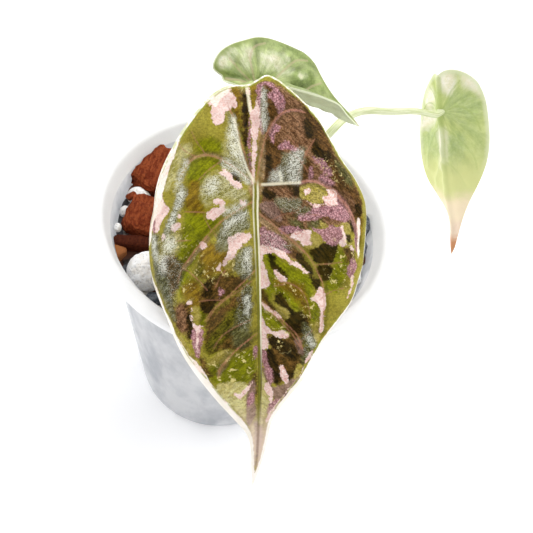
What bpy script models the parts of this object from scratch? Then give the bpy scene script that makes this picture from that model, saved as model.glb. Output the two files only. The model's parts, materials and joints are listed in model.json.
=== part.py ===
# Potted alocasia: three peltate leaves on their stalks, a crown, chunky mix and a thin nursery pot.
# Sizes in the tables below are millimetres; every mesh is made in metres, with +Z up.
# The origin is the centre of the pot's base, and the large leaf leans towards -Y.
import math
import random

import bmesh
import bpy
import numpy as np
from mathutils import Matrix, Vector
from mathutils.geometry import delaunay_2d_cdt

MM = 0.001
GAP = 0.3

POT_HEIGHT = 90.0
POT_SIDES = 48
RIM_RADIUS = 47.5
LIP_INNER = 43.0
SKIRT_DROP = 4.8
SKIRT_RADIUS = 46.3
WALL_TOP_RADIUS = 42.2
BASE_RADIUS = 28.5
WALL = 0.9
FLOOR = 1.4
DRAIN_COUNT = 8
DRAIN_RADIUS = 2.6
DRAIN_CIRCLE = 20.5

MIX_LEVEL = 81.5
MIX_SLOPE = 0.055
MIX_SIDES = 40
MIX_ROWS = 11
MIX_REACH = 38.0
MIX_DENT = 1.3
MIX_CELLS = 90
CELL_SIZE = 6.0
MIX_SEED = 11
CHUNK_TRIES = 6000
CHUNK_COUNT = 64
LARGEST_CHUNK = 1.25
SMALLEST_CHUNK = 0.5
CHUNK_CROWDING = 0.78

CROWN_FOOT = 66.0
CROWN_TOP = 90.0
CROWN_RADIUS = 7.4
HOLE_RADIUS = 8.2
SOCKET_DEPTH = 8.0

BLADE_THICKNESS = 0.75
BLADE_SPACING = 2.9
FOLD_SOFTNESS = 0.8
LOBE_BLEND = 8.0
RIB_REACH = 3.6
MARGIN_REACH = 3.0
CURL_REACH = 2.6
KEEL_DEPTH = 0.8
KEEL_REACH = 1.3
RIDGE_DEPTH = 0.35
RIDGE_REACH = 1.1
PAD_DEPTH = 0.7
PAD_RADIUS = 2.6
STALK_SIDES = 10
STALK_APPROACH = 4.5

# Each leaf has its own flat coordinates: x across, y from the stalk's junction towards the base notch.
# rise is the slope of each half beside the midrib, edge the slope at its margin and lobe_rise the
# slope beside the midline behind the junction, right half first, in degrees.
# droop bends the midrib back towards the tip and towards the base, in radians per millimetre.
# midrib runs from the tip to the notch, and puff and curl are how far the panels between ribs
# stand up and how far the margin turns down.
LEAVES = {
    "front": {
        "junction": (0.54, -18.24, 122.31),
        "tip_way": (0.200, -0.787, -0.584),
        "face_way": (-0.041, -0.602, 0.797),
        "rise": (14.0, 14.0),
        "lobe_rise": (14.0, 14.0),
        "edge": (-38.0, -38.0),
        "half_width": 28.0,
        "droop": (0.0035, 0.006),
        "puff": 1.2,
        "curl": 0.9,
        "right": (
            (0.2, 28.3), (2.6, 29.4), (5.5, 28.2), (8.2, 26.1), (10.7, 24.1), (14.0, 21.1), (17.5, 17.3),
            (20.6, 12.6), (24.2, 7.6), (29.0, 2.7), (32.6, -2.6), (33.6, -6.4), (33.4, -10.4),
            (32.6, -15.8), (31.7, -20.8), (29.9, -24.8), (27.5, -30.2), (22.9, -35.3), (18.7, -40.4),
            (15.7, -45.6), (12.9, -50.8), (8.6, -56.2), (4.9, -61.9), (3.6, -67.7), (2.3, -73.6),
            (0.7, -79.0),
        ),
        "tip": (-0.2, -81.6),
        "left": (
            (-0.4, -76.5), (-0.5, -71.4), (-1.6, -66.4), (-5.0, -62.0), (-10.2, -56.4), (-14.8, -51.2),
            (-19.0, -46.2), (-22.3, -41.1), (-24.9, -35.9), (-28.0, -30.7), (-30.7, -25.4),
            (-32.0, -19.0), (-31.6, -11.6), (-29.9, -6.1), (-29.0, -0.7), (-26.7, 4.6), (-23.3, 9.8),
            (-19.7, 14.8), (-16.0, 19.4), (-12.6, 23.1), (-9.1, 25.6), (-5.9, 26.5), (-2.4, 27.0),
        ),
        "midrib": (
            (0.1, -80.2), (0.9, -74.0), (1.3, -66.0), (1.5, -55.0), (1.5, -45.0), (0.9, -24.0),
            (0.1, -7.7), (0.0, 0.0), (-0.9, 10.3), (-1.4, 15.5), (-2.4, 26.2),
        ),
        "ribs": (
            ((0.0, 0.0), (-2.0, 5.1), (-4.7, 13.8), (-7.4, 20.8)),
            ((0.0, 0.0), (1.1, 6.4), (3.6, 15.2), (8.2, 19.5), (13.2, 19.1)),
            ((0.0, 0.0), (9.6, 0.6), (15.7, 1.0), (23.3, -3.1), (28.0, -9.0), (29.0, -14.6)),
            ((0.5, -6.9), (9.8, -14.3), (15.1, -19.9), (18.2, -27.5), (17.9, -37.4)),
            ((1.1, -29.0), (6.9, -34.3), (11.2, -38.6), (12.8, -42.7)),
            ((0.0, 0.0), (-4.6, 3.7), (-9.0, 6.4), (-13.4, 7.5), (-17.4, 5.9), (-19.9, 2.3)),
            ((0.0, -3.9), (-8.3, -9.1), (-14.0, -15.0), (-19.2, -21.6), (-20.7, -25.8)),
            ((0.8, -21.3), (-5.9, -27.7), (-11.0, -32.4), (-13.1, -35.4)),
            ((1.4, -37.9), (-4.7, -42.6), (-9.4, -48.4)),
        ),
        "stalk": ((-0.4, -2.9), (-0.4, -3.4, 92.0), (0.0, -5.6, 103.0), (0.5, -9.8, 111.5)),
        "stalk_radius": (2.3, 1.5),
        "colour": (0.17, 0.15, 0.05),
    },
    "middle": {
        "junction": (-5.1, 23.54, 120.26),
        "tip_way": (0.876, 0.372, -0.307),
        "face_way": (0.321, 0.025, 0.947),
        "rise": (39.6, 66.0),
        "lobe_rise": (39.6, 48.0),
        "edge": (5.8, 30.0),
        "half_width": 16.6,
        "droop": (0.007, 0.006),
        "puff": 0.7,
        "curl": 0.4,
        "right": (
            (0.9, 11.2), (2.4, 13.8), (4.6, 13.9), (8.1, 12.0), (11.1, 8.5), (13.8, 3.8), (15.9, -0.2),
            (16.9, -4.3), (16.9, -9.0), (16.5, -13.9), (16.0, -17.6), (13.8, -21.0), (10.7, -23.1),
            (8.3, -25.2), (6.2, -27.8), (4.5, -31.0), (3.2, -34.6), (1.6, -39.6),
        ),
        "tip": (0.0, -43.4),
        "left": (
            (-1.6, -38.6), (-3.4, -33.6), (-6.0, -29.0), (-8.8, -25.0), (-11.2, -21.0), (-12.8, -16.8),
            (-13.6, -12.2), (-14.2, -7.2), (-14.0, -2.0), (-12.6, 3.0), (-10.4, 7.2), (-7.2, 10.2),
            (-3.8, 11.4), (-1.4, 10.8),
        ),
        "midrib": ((0.0, -42.4), (0.0, -30.0), (0.0, -14.0), (0.0, 0.0), (0.0, 9.8)),
        "ribs": (
            ((0.0, 0.0), (3.0, 5.4), (6.4, 9.0)),
            ((0.0, 0.0), (6.0, 2.4), (11.4, 1.4), (14.4, -3.0)),
            ((0.0, -3.6), (6.0, -8.2), (11.4, -13.4), (13.0, -18.0)),
            ((0.0, -14.5), (4.2, -18.8), (7.2, -23.4)),
            ((0.0, 0.0), (-2.6, 4.8), (-5.6, 8.2)),
            ((0.0, 0.0), (-5.6, 2.2), (-9.8, 0.8), (-12.0, -3.6)),
            ((0.0, -3.6), (-5.4, -8.2), (-9.4, -13.4), (-10.2, -17.6)),
            ((0.0, -14.5), (-4.0, -18.8), (-6.8, -23.4)),
        ),
        "stalk": ((-2.6, 2.5), (-2.8, 3.7, 92.6), (-4.0, 8.2, 98.6), (-5.9, 15.4, 105.0), (-7.2, 20.6, 109.2)),
        "stalk_radius": (2.1, 1.2),
        "colour": (0.30, 0.38, 0.16),
    },
    "back": {
        "junction": (61.4, 67.94, 91.72),
        "tip_way": (0.3756, -0.3842, -0.8434),
        "face_way": (0.5766, 0.8093, -0.1118),
        "rise": (40.0, 40.0),
        "lobe_rise": (40.0, 40.0),
        "edge": (15.0, 15.0),
        "half_width": 18.0,
        "droop": (0.0004, 0.004),
        "puff": 0.6,
        "curl": 0.3,
        "right": (
            (0.4, 13.2), (2.4, 13.6), (6.6, 10.2), (10.2, 6.4), (12.6, 2.4), (14.1, -1.6), (15.4, -6.4),
            (16.3, -11.4), (16.7, -16.2), (16.6, -20.6), (16.0, -24.6), (14.8, -28.2), (12.7, -31.5),
            (9.6, -34.2), (6.4, -36.6), (3.0, -39.0), (0.8, -42.0), (0.1, -47.0), (0.1, -52.4),
        ),
        "tip": (-0.3, -58.0),
        "left": (
            (-1.8, -54.4), (-3.0, -50.4), (-4.6, -45.4), (-6.0, -41.4), (-8.4, -35.8), (-10.9, -31.0),
            (-13.2, -26.2), (-15.0, -21.4), (-16.1, -16.6), (-16.6, -12.0), (-16.6, -7.4), (-16.4, -2.8),
            (-16.0, 1.4), (-15.0, 5.4), (-13.4, 9.0), (-10.8, 11.8), (-7.6, 13.8), (-4.4, 14.8),
            (-1.6, 14.6),
        ),
        "midrib": (
            (-0.5, -57.0), (-1.3, -51.0), (-1.6, -44.0), (-0.6, -35.0), (0.0, -26.0), (0.0, 0.0),
            (-0.2, 12.4),
        ),
        "ribs": (
            ((0.0, 0.0), (3.0, 5.6), (6.2, 8.0)),
            ((0.0, 0.0), (6.6, 2.0), (11.6, -1.0), (13.8, -7.4)),
            ((0.0, -5.4), (6.4, -11.0), (11.2, -18.6), (12.2, -24.6)),
            ((0.0, -18.6), (4.8, -24.2), (7.8, -30.4)),
            ((0.0, 0.0), (-3.4, 6.4), (-7.4, 10.6)),
            ((0.0, 0.0), (-6.6, 1.2), (-11.6, -2.8), (-13.6, -8.4)),
            ((0.0, -5.4), (-6.0, -11.4), (-10.6, -18.0), (-11.6, -23.4)),
            ((0.0, -18.6), (-4.4, -24.0), (-7.2, -29.8)),
        ),
        "stalk": (
            (2.7, 2.4), (3.9, 4.6, 94.6), (7.6, 11.4, 97.6), (13.4, 22.4, 98.4), (19.0, 32.0, 97.9),
            (24.6, 43.4, 98.0), (29.3, 49.0, 97.7), (33.7, 51.9, 97.4), (41.0, 55.2, 96.4),
            (51.0, 60.4, 94.9),
        ),
        "stalk_radius": (2.0, 1.15),
        "colour": (0.52, 0.60, 0.24),
    },
}

# Chunks whose places show beside the large leaf: kind, centre, half sizes, turn about Z and tilt in degrees.
SEEN_CHUNKS = (
    ("bark", (-31.4, 16.2, 83.6), (6.2, 9.4, 3.2), (-22.0, 6.0)),
    ("bark", (-31.0, -3.4, 82.6), (5.8, 7.4, 3.0), (-6.0, 4.0)),
    ("bark", (-32.0, -13.2, 80.8), (6.4, 2.4, 2.4), (12.0, 0.0)),
    ("bark", (-35.6, -17.6, 80.4), (2.2, 3.0, 2.0), (-30.0, 0.0)),
    ("pumice", (-25.0, -22.2, 80.8), (6.8, 6.6, 6.4), (0.0, 0.0)),
    ("pumice", (-37.4, -1.6, 81.0), (1.9, 2.2, 1.8), (0.0, 0.0)),
    ("charcoal", (36.2, 11.4, 83.6), (3.4, 4.4, 4.2), (20.0, 10.0)),
    ("charcoal", (36.6, 2.4, 81.8), (3.0, 4.2, 3.6), (-8.0, 0.0)),
    ("pumice", (35.4, -7.8, 80.4), (3.8, 4.2, 3.6), (0.0, 0.0)),
)
CHUNK_SIZES = {"bark": (6.8, 4.4, 2.6), "pumice": (4.2, 4.0, 3.7), "charcoal": (4.1, 3.3, 2.9)}
CHUNK_SHARES = (("bark", 0.5), ("pumice", 0.85), ("charcoal", 1.0))


def clear_scene():
    for obj in list(bpy.data.objects):
        bpy.data.objects.remove(obj, do_unlink=True)


def make_material(name, colour, roughness, alpha=1.0):
    material = bpy.data.materials.new(name)
    material.use_nodes = True
    shader = material.node_tree.nodes["Principled BSDF"]
    shader.inputs["Base Color"].default_value = (*colour, 1.0)
    shader.inputs["Roughness"].default_value = roughness
    shader.inputs["Metallic"].default_value = 0.0
    shader.inputs["Alpha"].default_value = alpha
    return material


def make_object(name, points, faces, material=None, smooth=False):
    """Points are in millimetres."""
    mesh = bpy.data.meshes.new(name)
    mesh.from_pydata([tuple(float(c) * MM for c in p) for p in points], [], faces)
    mesh.update()
    if smooth:
        mesh.shade_smooth()
        mesh.set_sharp_from_angle(angle=math.radians(35))
    obj = bpy.data.objects.new(name, mesh)
    bpy.context.scene.collection.objects.link(obj)
    if material:
        mesh.materials.append(material)
    return obj


def revolve(name, profile, sides, material=None):
    """Turn a profile of (radius, height) points about Z; radius 0 makes a pole."""
    points = []
    rows = []
    for radius, height in profile:
        if radius == 0:
            rows.append([len(points)])
            points.append((0.0, 0.0, height))
            continue
        rows.append(list(range(len(points), len(points) + sides)))
        for i in range(sides):
            angle = 2 * math.pi * i / sides
            points.append((radius * math.cos(angle), radius * math.sin(angle), height))
    faces = []
    for lower, upper in zip(rows, rows[1:]):
        for i in range(sides):
            j = (i + 1) % sides
            if len(lower) == 1:
                faces.append((lower[0], upper[j], upper[i]))
            elif len(upper) == 1:
                faces.append((lower[i], lower[j], upper[0]))
            else:
                faces.append((lower[i], lower[j], upper[j], upper[i]))
    return make_object(name, points, faces, material, smooth=True)


def mark_cutter(obj):
    obj.hide_render = True
    obj.display_type = "WIRE"


def cut(obj, cutters, operation="DIFFERENCE", solver="EXACT"):
    """Apply a Boolean of every cutter to obj, and remove the cutters."""
    group = bpy.data.collections.new(obj.name + "_tools")
    bpy.context.scene.collection.children.link(group)
    for cutter in cutters:
        bpy.context.scene.collection.objects.unlink(cutter)
        group.objects.link(cutter)
        mark_cutter(cutter)
    modifier = obj.modifiers.new(operation.lower(), "BOOLEAN")
    modifier.operation = operation
    modifier.solver = solver
    modifier.operand_type = "COLLECTION"
    modifier.collection = group
    bpy.context.view_layer.update()
    graph = bpy.context.evaluated_depsgraph_get()
    result = bpy.data.meshes.new_from_object(obj.evaluated_get(graph))
    obj.modifiers.clear()
    old = obj.data
    obj.data = result
    bpy.data.meshes.remove(old)
    for cutter in cutters:
        bpy.data.objects.remove(cutter, do_unlink=True)
    bpy.data.collections.remove(group)


def smooth_line(points, closed=False, step=1.0):
    """A Catmull-Rom line through points, sampled about every step millimetres."""
    knots = np.array(points, float)
    count = len(knots)
    spans = count if closed else count - 1
    line = []
    for i in range(spans):
        if closed:
            p0, p1, p2, p3 = (knots[(i + k) % count] for k in (-1, 0, 1, 2))
        else:
            p0, p1 = knots[max(i - 1, 0)], knots[i]
            p2, p3 = knots[i + 1], knots[min(i + 2, count - 1)]
        for t in np.arange(0, 1, 0.05):
            line.append(0.5 * (2 * p1 + (p2 - p0) * t + (2 * p0 - 5 * p1 + 4 * p2 - p3) * t ** 2
                               + (3 * p1 - p0 - 3 * p2 + p3) * t ** 3))
    line.append(knots[0] if closed else knots[-1])
    line = np.array(line)
    lengths = np.concatenate([[0], np.cumsum(np.linalg.norm(np.diff(line, axis=0), axis=1))])
    pieces = max(2, round(lengths[-1] / step))
    even = np.linspace(0, lengths[-1], pieces + 1)
    line = np.stack([np.interp(even, lengths, line[:, k]) for k in range(line.shape[1])], axis=1)
    return line[:-1] if closed else line


def distance_to_lines(points, lines):
    """The distance of each point to the nearest of several open lines."""
    best = np.full(len(points), 1e9)
    for line in lines:
        start = line[:-1]
        run = line[1:] - start
        offset = points[:, None, :] - start[None]
        along = (offset * run).sum(2) / np.maximum((run * run).sum(1), 1e-9)
        away = offset - np.clip(along, 0, 1)[:, :, None] * run
        best = np.minimum(best, np.sqrt((away ** 2).sum(2)).min(1))
    return best


def leaf_outline(leaf, step):
    """The closed outline in leaf coordinates, with the drip tip kept sharp."""
    right = smooth_line((*leaf["right"], leaf["tip"]), step=step)
    left = smooth_line((leaf["tip"], *leaf["left"], leaf["right"][0]), step=step)
    return np.concatenate([right[:-1], left[:-1]])


def leaf_bend(leaf, x, y):
    """Flat leaf coordinates to the leaf's own space: folded along the midrib, then drooped."""
    middle = smooth_line(leaf["midrib"])
    fold = np.interp(y, middle[:, 1], middle[:, 0])
    right = x > fold
    rise = np.where(right, leaf["rise"][0], leaf["rise"][1])
    edge = np.where(right, leaf["edge"][0], leaf["edge"][1])
    lobe_rise = np.where(right, leaf["lobe_rise"][0], leaf["lobe_rise"][1])
    lobe = np.clip(y / LOBE_BLEND, 0.0, 1.0)
    lobe = lobe * lobe * (3 - 2 * lobe)
    across_turn = np.radians(edge - rise) / leaf["half_width"]
    rise = np.radians(rise + (lobe_rise - rise) * lobe)
    reach = np.abs(x - fold)
    soft = np.sqrt(reach * reach + FOLD_SOFTNESS ** 2)
    across = (np.sin(rise + across_turn * reach) - np.sin(rise)) / across_turn
    lift = (np.cos(rise + across_turn * FOLD_SOFTNESS) - np.cos(rise + across_turn * soft)) / across_turn
    turn = np.where(y < 0, leaf["droop"][0], leaf["droop"][1])
    along = np.sin(turn * y) / turn + lift * np.sin(turn * y)
    up = lift * np.cos(turn * y) - (1 - np.cos(turn * y)) / turn
    return np.stack([fold + np.where(right, across, -across), along, up], axis=1)


def leaf_normal(leaf, x, y):
    """The upper side's normal, softened across the fold of the midrib."""
    small = 0.6
    dx = leaf_bend(leaf, x + small, y) - leaf_bend(leaf, x - small, y)
    dy = leaf_bend(leaf, x, y + small) - leaf_bend(leaf, x, y - small)
    normal = np.cross(dx, dy)
    return normal / np.linalg.norm(normal, axis=1)[:, None]


def leaf_faces(leaf, flat, outline):
    """The upper and lower surface points over flat coordinates."""
    x, y = flat[:, 0], flat[:, 1]
    margin = distance_to_lines(flat, [np.vstack([outline, outline[:1]])])
    rib = distance_to_lines(flat, [smooth_line(rib) for rib in leaf["ribs"]])
    midrib = distance_to_lines(flat, [smooth_line(leaf["midrib"])])
    pad = np.exp(-(np.hypot(x, y) / PAD_RADIUS) ** 2)
    panel = 1 - np.exp(-(np.minimum(rib, midrib) / RIB_REACH) ** 2)
    lift = leaf["puff"] * panel * (1 - np.exp(-margin / MARGIN_REACH))
    lift -= leaf["curl"] * np.exp(-margin / CURL_REACH)
    inside = np.clip(margin / 2.0, 0.0, 1.0)
    keel = KEEL_DEPTH * np.exp(-midrib / KEEL_REACH) * inside * np.where(y < 0, 1.0, 0.5)
    ridge = RIDGE_DEPTH * np.exp(-rib / RIDGE_REACH) * inside
    depth = BLADE_THICKNESS + np.maximum(keel, ridge) * (1 - pad) + PAD_DEPTH * pad
    normal = leaf_normal(leaf, x, y)
    upper = leaf_bend(leaf, x, y) + normal * lift[:, None]
    return upper, upper - normal * depth[:, None]


def leaf_placement(leaf):
    """The matrix from leaf space to the world, in millimetres."""
    along = -Vector(leaf["tip_way"]).normalized()
    face = Vector(leaf["face_way"])
    face = (face - along * face.dot(along)).normalized()
    across = along.cross(face)
    turn = Matrix((across, along, face)).transposed().to_4x4()
    return Matrix.Translation(Vector(leaf["junction"])) @ turn


def flat_points(leaf, outline, spacing):
    """Points over the blade: a ring about the junction, the midrib, the ribs, then an even field."""
    points = [(0.0, 0.0)]
    points += [(1.9 * math.cos(a), 1.9 * math.sin(a)) for a in np.arange(8) * math.pi / 4]
    edge = [np.vstack([outline, outline[:1]])]
    for line in (leaf["midrib"], *leaf["ribs"]):
        for point in smooth_line(line, step=spacing * 0.8):
            near = min(math.dist(point, other) for other in points)
            if near > spacing * 0.55 and distance_to_lines(point[None], edge)[0] > spacing * 0.45:
                points.append(tuple(point))
    low, high = outline.min(axis=0), outline.max(axis=0)
    row_height = spacing * math.sqrt(3) / 2
    for row, y in enumerate(np.arange(low[1], high[1], row_height)):
        for x in np.arange(low[0] + (row % 2) * spacing / 2, high[0], spacing):
            near = min(math.dist((x, y), other) for other in points)
            if near > spacing * 0.72 and distance_to_lines(np.array([[x, y]]), edge)[0] > spacing * 0.5:
                points.append((float(x), float(y)))
    return points


def make_blade(name, leaf, material):
    outline = leaf_outline(leaf, BLADE_SPACING * 0.8)
    inner = flat_points(leaf, outline, BLADE_SPACING)
    count = len(outline)
    flat = [Vector((float(x), float(y))) for x, y in (*outline, *inner)]
    loop = list(range(count))
    found = delaunay_2d_cdt(flat, [], [loop], 1, 1e-4)
    places, triangles, origins = found[0], found[2], found[3]
    inside = np.array([tuple(p) for p in places])
    upper, lower = leaf_faces(leaf, inside, outline)
    size = len(places)
    new_of = {old: new for new, olds in enumerate(origins) for old in olds}
    faces = [tuple(t) for t in triangles]
    faces += [tuple(size + i for i in reversed(t)) for t in triangles]
    rim = [new_of[i] for i in loop]
    clockwise = sum(a[0] * b[1] - b[0] * a[1] for a, b in zip(outline, np.roll(outline, -1, axis=0))) < 0
    if clockwise:
        rim.reverse()
    for i, j in zip(rim, rim[1:] + rim[:1]):
        faces.append((i, size + i, size + j))
        faces.append((i, size + j, j))
    obj = make_object(name, np.vstack([upper, lower]), faces, material, smooth=True)
    obj.matrix_world = in_metres(leaf_placement(leaf))
    return obj


def in_metres(placement):
    result = placement.copy()
    result.translation = placement.translation * MM
    return result


def stalk_line(leaf):
    """The stalk's centre line from the crown to the swelling under the blade."""
    base = leaf["stalk"][0]
    placement = leaf_placement(leaf)
    top = placement @ Vector((0, 0, -BLADE_THICKNESS - PAD_DEPTH - GAP))
    under = placement @ Vector((0, 0, -STALK_APPROACH))
    rooted = [(*base, CROWN_TOP - SOCKET_DEPTH), (*base, CROWN_TOP - 3.0), (*base, CROWN_TOP + 0.6)]
    knots = [*rooted, *leaf["stalk"][1:], tuple(under), tuple(top)]
    return smooth_line(knots, step=3.4)


def make_stalk(name, leaf, material):
    """A tapered tube whose last ring lies along the blade's underside."""
    line = stalk_line(leaf)
    placement = leaf_placement(leaf)
    start_radius, end_radius = leaf["stalk_radius"]
    across = Vector(placement.col[0][:3])
    points = []
    angles = [2 * math.pi * i / STALK_SIDES for i in range(STALK_SIDES)]
    for i, centre in enumerate(line[:-1]):
        way = Vector(line[i + 1] - line[max(i - 1, 0)]).normalized()
        side = (across - way * across.dot(way)).normalized()
        up = way.cross(side)
        share = i / (len(line) - 1)
        radius = start_radius + (end_radius - start_radius) * share ** 0.7
        for angle in angles:
            points.append(Vector(centre) + (side * math.cos(angle) + up * math.sin(angle)) * radius)
    flat = np.array([(end_radius * math.cos(a), end_radius * math.sin(a)) for a in angles] + [(0.0, 0.0)])
    outline = leaf_outline(leaf, BLADE_SPACING)
    upper, lower = leaf_faces(leaf, flat, outline)
    seat = lower - (upper - lower) / np.linalg.norm(upper - lower, axis=1)[:, None] * GAP * 1.2
    points += [placement @ Vector(p) for p in seat]
    base_centre = len(points)
    points.append(Vector(line[0]))
    faces = []
    rings = len(line)
    for ring in range(rings - 1):
        for i in range(STALK_SIDES):
            j = (i + 1) % STALK_SIDES
            low, high = ring * STALK_SIDES, (ring + 1) * STALK_SIDES
            faces.append((low + i, low + j, high + j, high + i))
    last = (rings - 1) * STALK_SIDES
    for i in range(STALK_SIDES):
        j = (i + 1) % STALK_SIDES
        faces.append((last + i, last + j, last + STALK_SIDES))
        faces.append((j, i, base_centre))
    return make_object(name, points, faces, material, smooth=True)


def pot_wall_radius(height):
    """The outer wall's radius at a height."""
    return BASE_RADIUS + (WALL_TOP_RADIUS - BASE_RADIUS) * height / (POT_HEIGHT - 3.0)


def make_pot(material):
    rim = POT_HEIGHT
    profile = [
        (0, 0.0),
        (BASE_RADIUS - 0.8, 0.0),
        (BASE_RADIUS, 0.8),
        (pot_wall_radius(rim - 4.2), rim - 4.2),
        (WALL_TOP_RADIUS + 0.9, rim - 2.0),
        (LIP_INNER + 1.2, rim - 1.1),
        (RIM_RADIUS - 1.5, rim - 1.1),
        (RIM_RADIUS - 1.3, rim - 1.6),
        (SKIRT_RADIUS - 0.9, rim - SKIRT_DROP),
        (SKIRT_RADIUS, rim - SKIRT_DROP),
        (RIM_RADIUS - 0.15, rim - 1.0),
        (RIM_RADIUS - 0.6, rim - 0.2),
        (RIM_RADIUS - 1.3, rim),
        (LIP_INNER + 0.9, rim),
        (LIP_INNER + 0.1, rim - 0.5),
        (LIP_INNER - 0.4, rim - 1.6),
        (pot_wall_radius(rim - 4.2) - WALL, rim - 4.2),
        (BASE_RADIUS - WALL + 0.2, FLOOR + 0.7),
        (BASE_RADIUS - WALL - 0.8, FLOOR),
        (0, FLOOR),
    ]
    pot = revolve("pot", profile, POT_SIDES, material)
    drains = []
    for i in range(DRAIN_COUNT):
        angle = 2 * math.pi * (i + 0.5) / DRAIN_COUNT
        drain = revolve("drain", [(0, -3.0), (DRAIN_RADIUS, -3.0), (DRAIN_RADIUS, 6.0), (0, 6.0)], 12)
        drain.location = (DRAIN_CIRCLE * math.cos(angle) * MM, DRAIN_CIRCLE * math.sin(angle) * MM, 0)
        drains.append(drain)
    cut(pot, drains)
    return pot


def mix_radius(height):
    """The most that the mix may reach out at a height, clear of the pot."""
    return pot_wall_radius(height) - WALL - GAP


def mix_level(x, y):
    return MIX_LEVEL + MIX_SLOPE * y + 0.7 * math.sin(0.31 * x + 1.0) * math.sin(0.27 * y)


def make_mix_core():
    """The settled mass of the mix, with a pebbled side."""
    draw = random.Random(MIX_SEED)
    cells = [(draw.uniform(0, 2 * math.pi), draw.uniform(0, MIX_LEVEL)) for _ in range(MIX_CELLS)]
    low = FLOOR + GAP + 0.4
    points = []
    for row in range(MIX_ROWS):
        for i in range(MIX_SIDES):
            angle = 2 * math.pi * (i + 0.5 * (row % 2)) / MIX_SIDES
            level = mix_level(MIX_REACH * math.cos(angle), MIX_REACH * math.sin(angle)) - 1.2
            height = low + (level - low) * row / (MIX_ROWS - 1)
            most = mix_radius(height)
            nearest = min(math.hypot(math.remainder(angle - a, 2 * math.pi) * most, height - h) for a, h in cells)
            radius = most - MIX_DENT * min(1.0, (nearest / CELL_SIZE) ** 2)
            points.append((radius * math.cos(angle), radius * math.sin(angle), height))
    for share in (0.72, 0.45):
        for i in range(MIX_SIDES):
            angle = 2 * math.pi * (i + 0.5 * ((MIX_ROWS - 1) % 2)) / MIX_SIDES
            x, y = MIX_REACH * share * math.cos(angle), MIX_REACH * share * math.sin(angle)
            points.append((x, y, mix_level(x, y) - 0.4))
    rows = MIX_ROWS + 2
    faces = []
    for row in range(rows - 1):
        for i in range(MIX_SIDES):
            a, b = row * MIX_SIDES + i, row * MIX_SIDES + (i + 1) % MIX_SIDES
            c, d = b + MIX_SIDES, a + MIX_SIDES
            faces += [(a, b, d), (b, c, d)]
    top = len(points)
    points += [(0, 0, MIX_LEVEL - 0.4), (0, 0, low)]
    last = (rows - 1) * MIX_SIDES
    for i in range(MIX_SIDES):
        j = (i + 1) % MIX_SIDES
        faces.append((last + i, last + j, top))
        faces.append((j, i, top + 1))
    return make_object("potting_mix", points, faces)


def make_chunk(draw, kind, centre, half, turn, tilt):
    """A bark flake, a pumice grain or a charcoal lump as the hull of scattered points."""
    count = {"bark": 11, "pumice": 16, "charcoal": 10}[kind]
    shell = bmesh.new()
    for i in range(count):
        height = 1 - 2 * (i + 0.5) / count
        angle = i * math.pi * (3 - math.sqrt(5)) + draw.uniform(-0.25, 0.25)
        flat = math.sqrt(1 - height * height)
        way = Vector((flat * math.cos(angle), flat * math.sin(angle), height))
        if kind == "bark":
            way = Vector(tuple(math.copysign(abs(c) ** 0.45, c) for c in way))
        reach = draw.uniform(0.84, 1.06)
        shell.verts.new(Vector((way.x * half[0], way.y * half[1], way.z * half[2])) * reach)
    hull = bmesh.ops.convex_hull(shell, input=list(shell.verts))
    loose = [v for v in hull["geom_interior"] if isinstance(v, bmesh.types.BMVert)]
    bmesh.ops.delete(shell, geom=loose, context="VERTS")
    bmesh.ops.triangulate(shell, faces=list(shell.faces))
    bmesh.ops.recalc_face_normals(shell, faces=list(shell.faces))
    turning = Matrix.Rotation(math.radians(turn), 4, "Z") @ Matrix.Rotation(math.radians(tilt), 4, "X")
    shell.transform(Matrix.Translation(Vector(centre)) @ turning)
    shell.verts.index_update()
    points = [tuple(v.co) for v in shell.verts]
    faces = [tuple(v.index for v in f.verts) for f in shell.faces]
    shell.free()
    return make_object("chunk_" + kind, points, faces)


def place_chunks(draw):
    """The chunks of the top layer: those that show, then a seeded scatter from large to small between them."""
    placed = [(kind, centre, half, turn, tilt) for kind, centre, half, (turn, tilt) in SEEN_CHUNKS]
    for attempt in range(CHUNK_TRIES):
        pick = draw.random()
        kind = next(name for name, share in CHUNK_SHARES if pick <= share)
        scale = LARGEST_CHUNK + (SMALLEST_CHUNK - LARGEST_CHUNK) * attempt / CHUNK_TRIES
        half = tuple(scale * side * draw.uniform(0.85, 1.15) for side in CHUNK_SIZES[kind])
        reach = math.hypot(half[0], half[1]) * 0.8
        radius = math.sqrt(draw.random()) * MIX_REACH
        angle = draw.uniform(0, 2 * math.pi)
        x, y = radius * math.cos(angle), radius * math.sin(angle)
        turn, tilt = draw.uniform(0, 180), draw.uniform(-14, 14)
        if radius < HOLE_RADIUS + 1.4 + reach or radius + reach > mix_radius(MIX_LEVEL):
            continue
        if any(math.hypot(x - c[0], y - c[1]) < CHUNK_CROWDING * (reach + math.hypot(h[0], h[1]) * 0.8)
               for _, c, h, _, _ in placed):
            continue
        placed.append((kind, (x, y, mix_level(x, y) - 0.3 * half[2]), half, turn, tilt))
        if len(placed) == CHUNK_COUNT:
            break
    return placed


def make_mix(material):
    draw = random.Random(MIX_SEED)
    mix = make_mix_core()
    chunks = [make_chunk(draw, *chunk) for chunk in place_chunks(draw)]
    cut(mix, chunks, "UNION")
    low, high = FLOOR + GAP, POT_HEIGHT - 4.2
    mould = [(0, low), (mix_radius(low) - 0.9, low), (mix_radius(low + 1.2), low + 1.2),
             (mix_radius(high), high), (mix_radius(high) + 0.3, POT_HEIGHT + 4.0), (0, POT_HEIGHT + 4.0)]
    cut(mix, [revolve("mould", mould, POT_SIDES)], "INTERSECT")
    foot = CROWN_FOOT - GAP
    hole = [(0, foot), (HOLE_RADIUS - 2.0, foot), (HOLE_RADIUS, foot + 4.0), (HOLE_RADIUS, POT_HEIGHT + 9.0),
            (0, POT_HEIGHT + 9.0)]
    cut(mix, [revolve("hole", hole, 20)])
    mix.data.materials.clear()
    mix.data.materials.append(material)
    return mix


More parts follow.
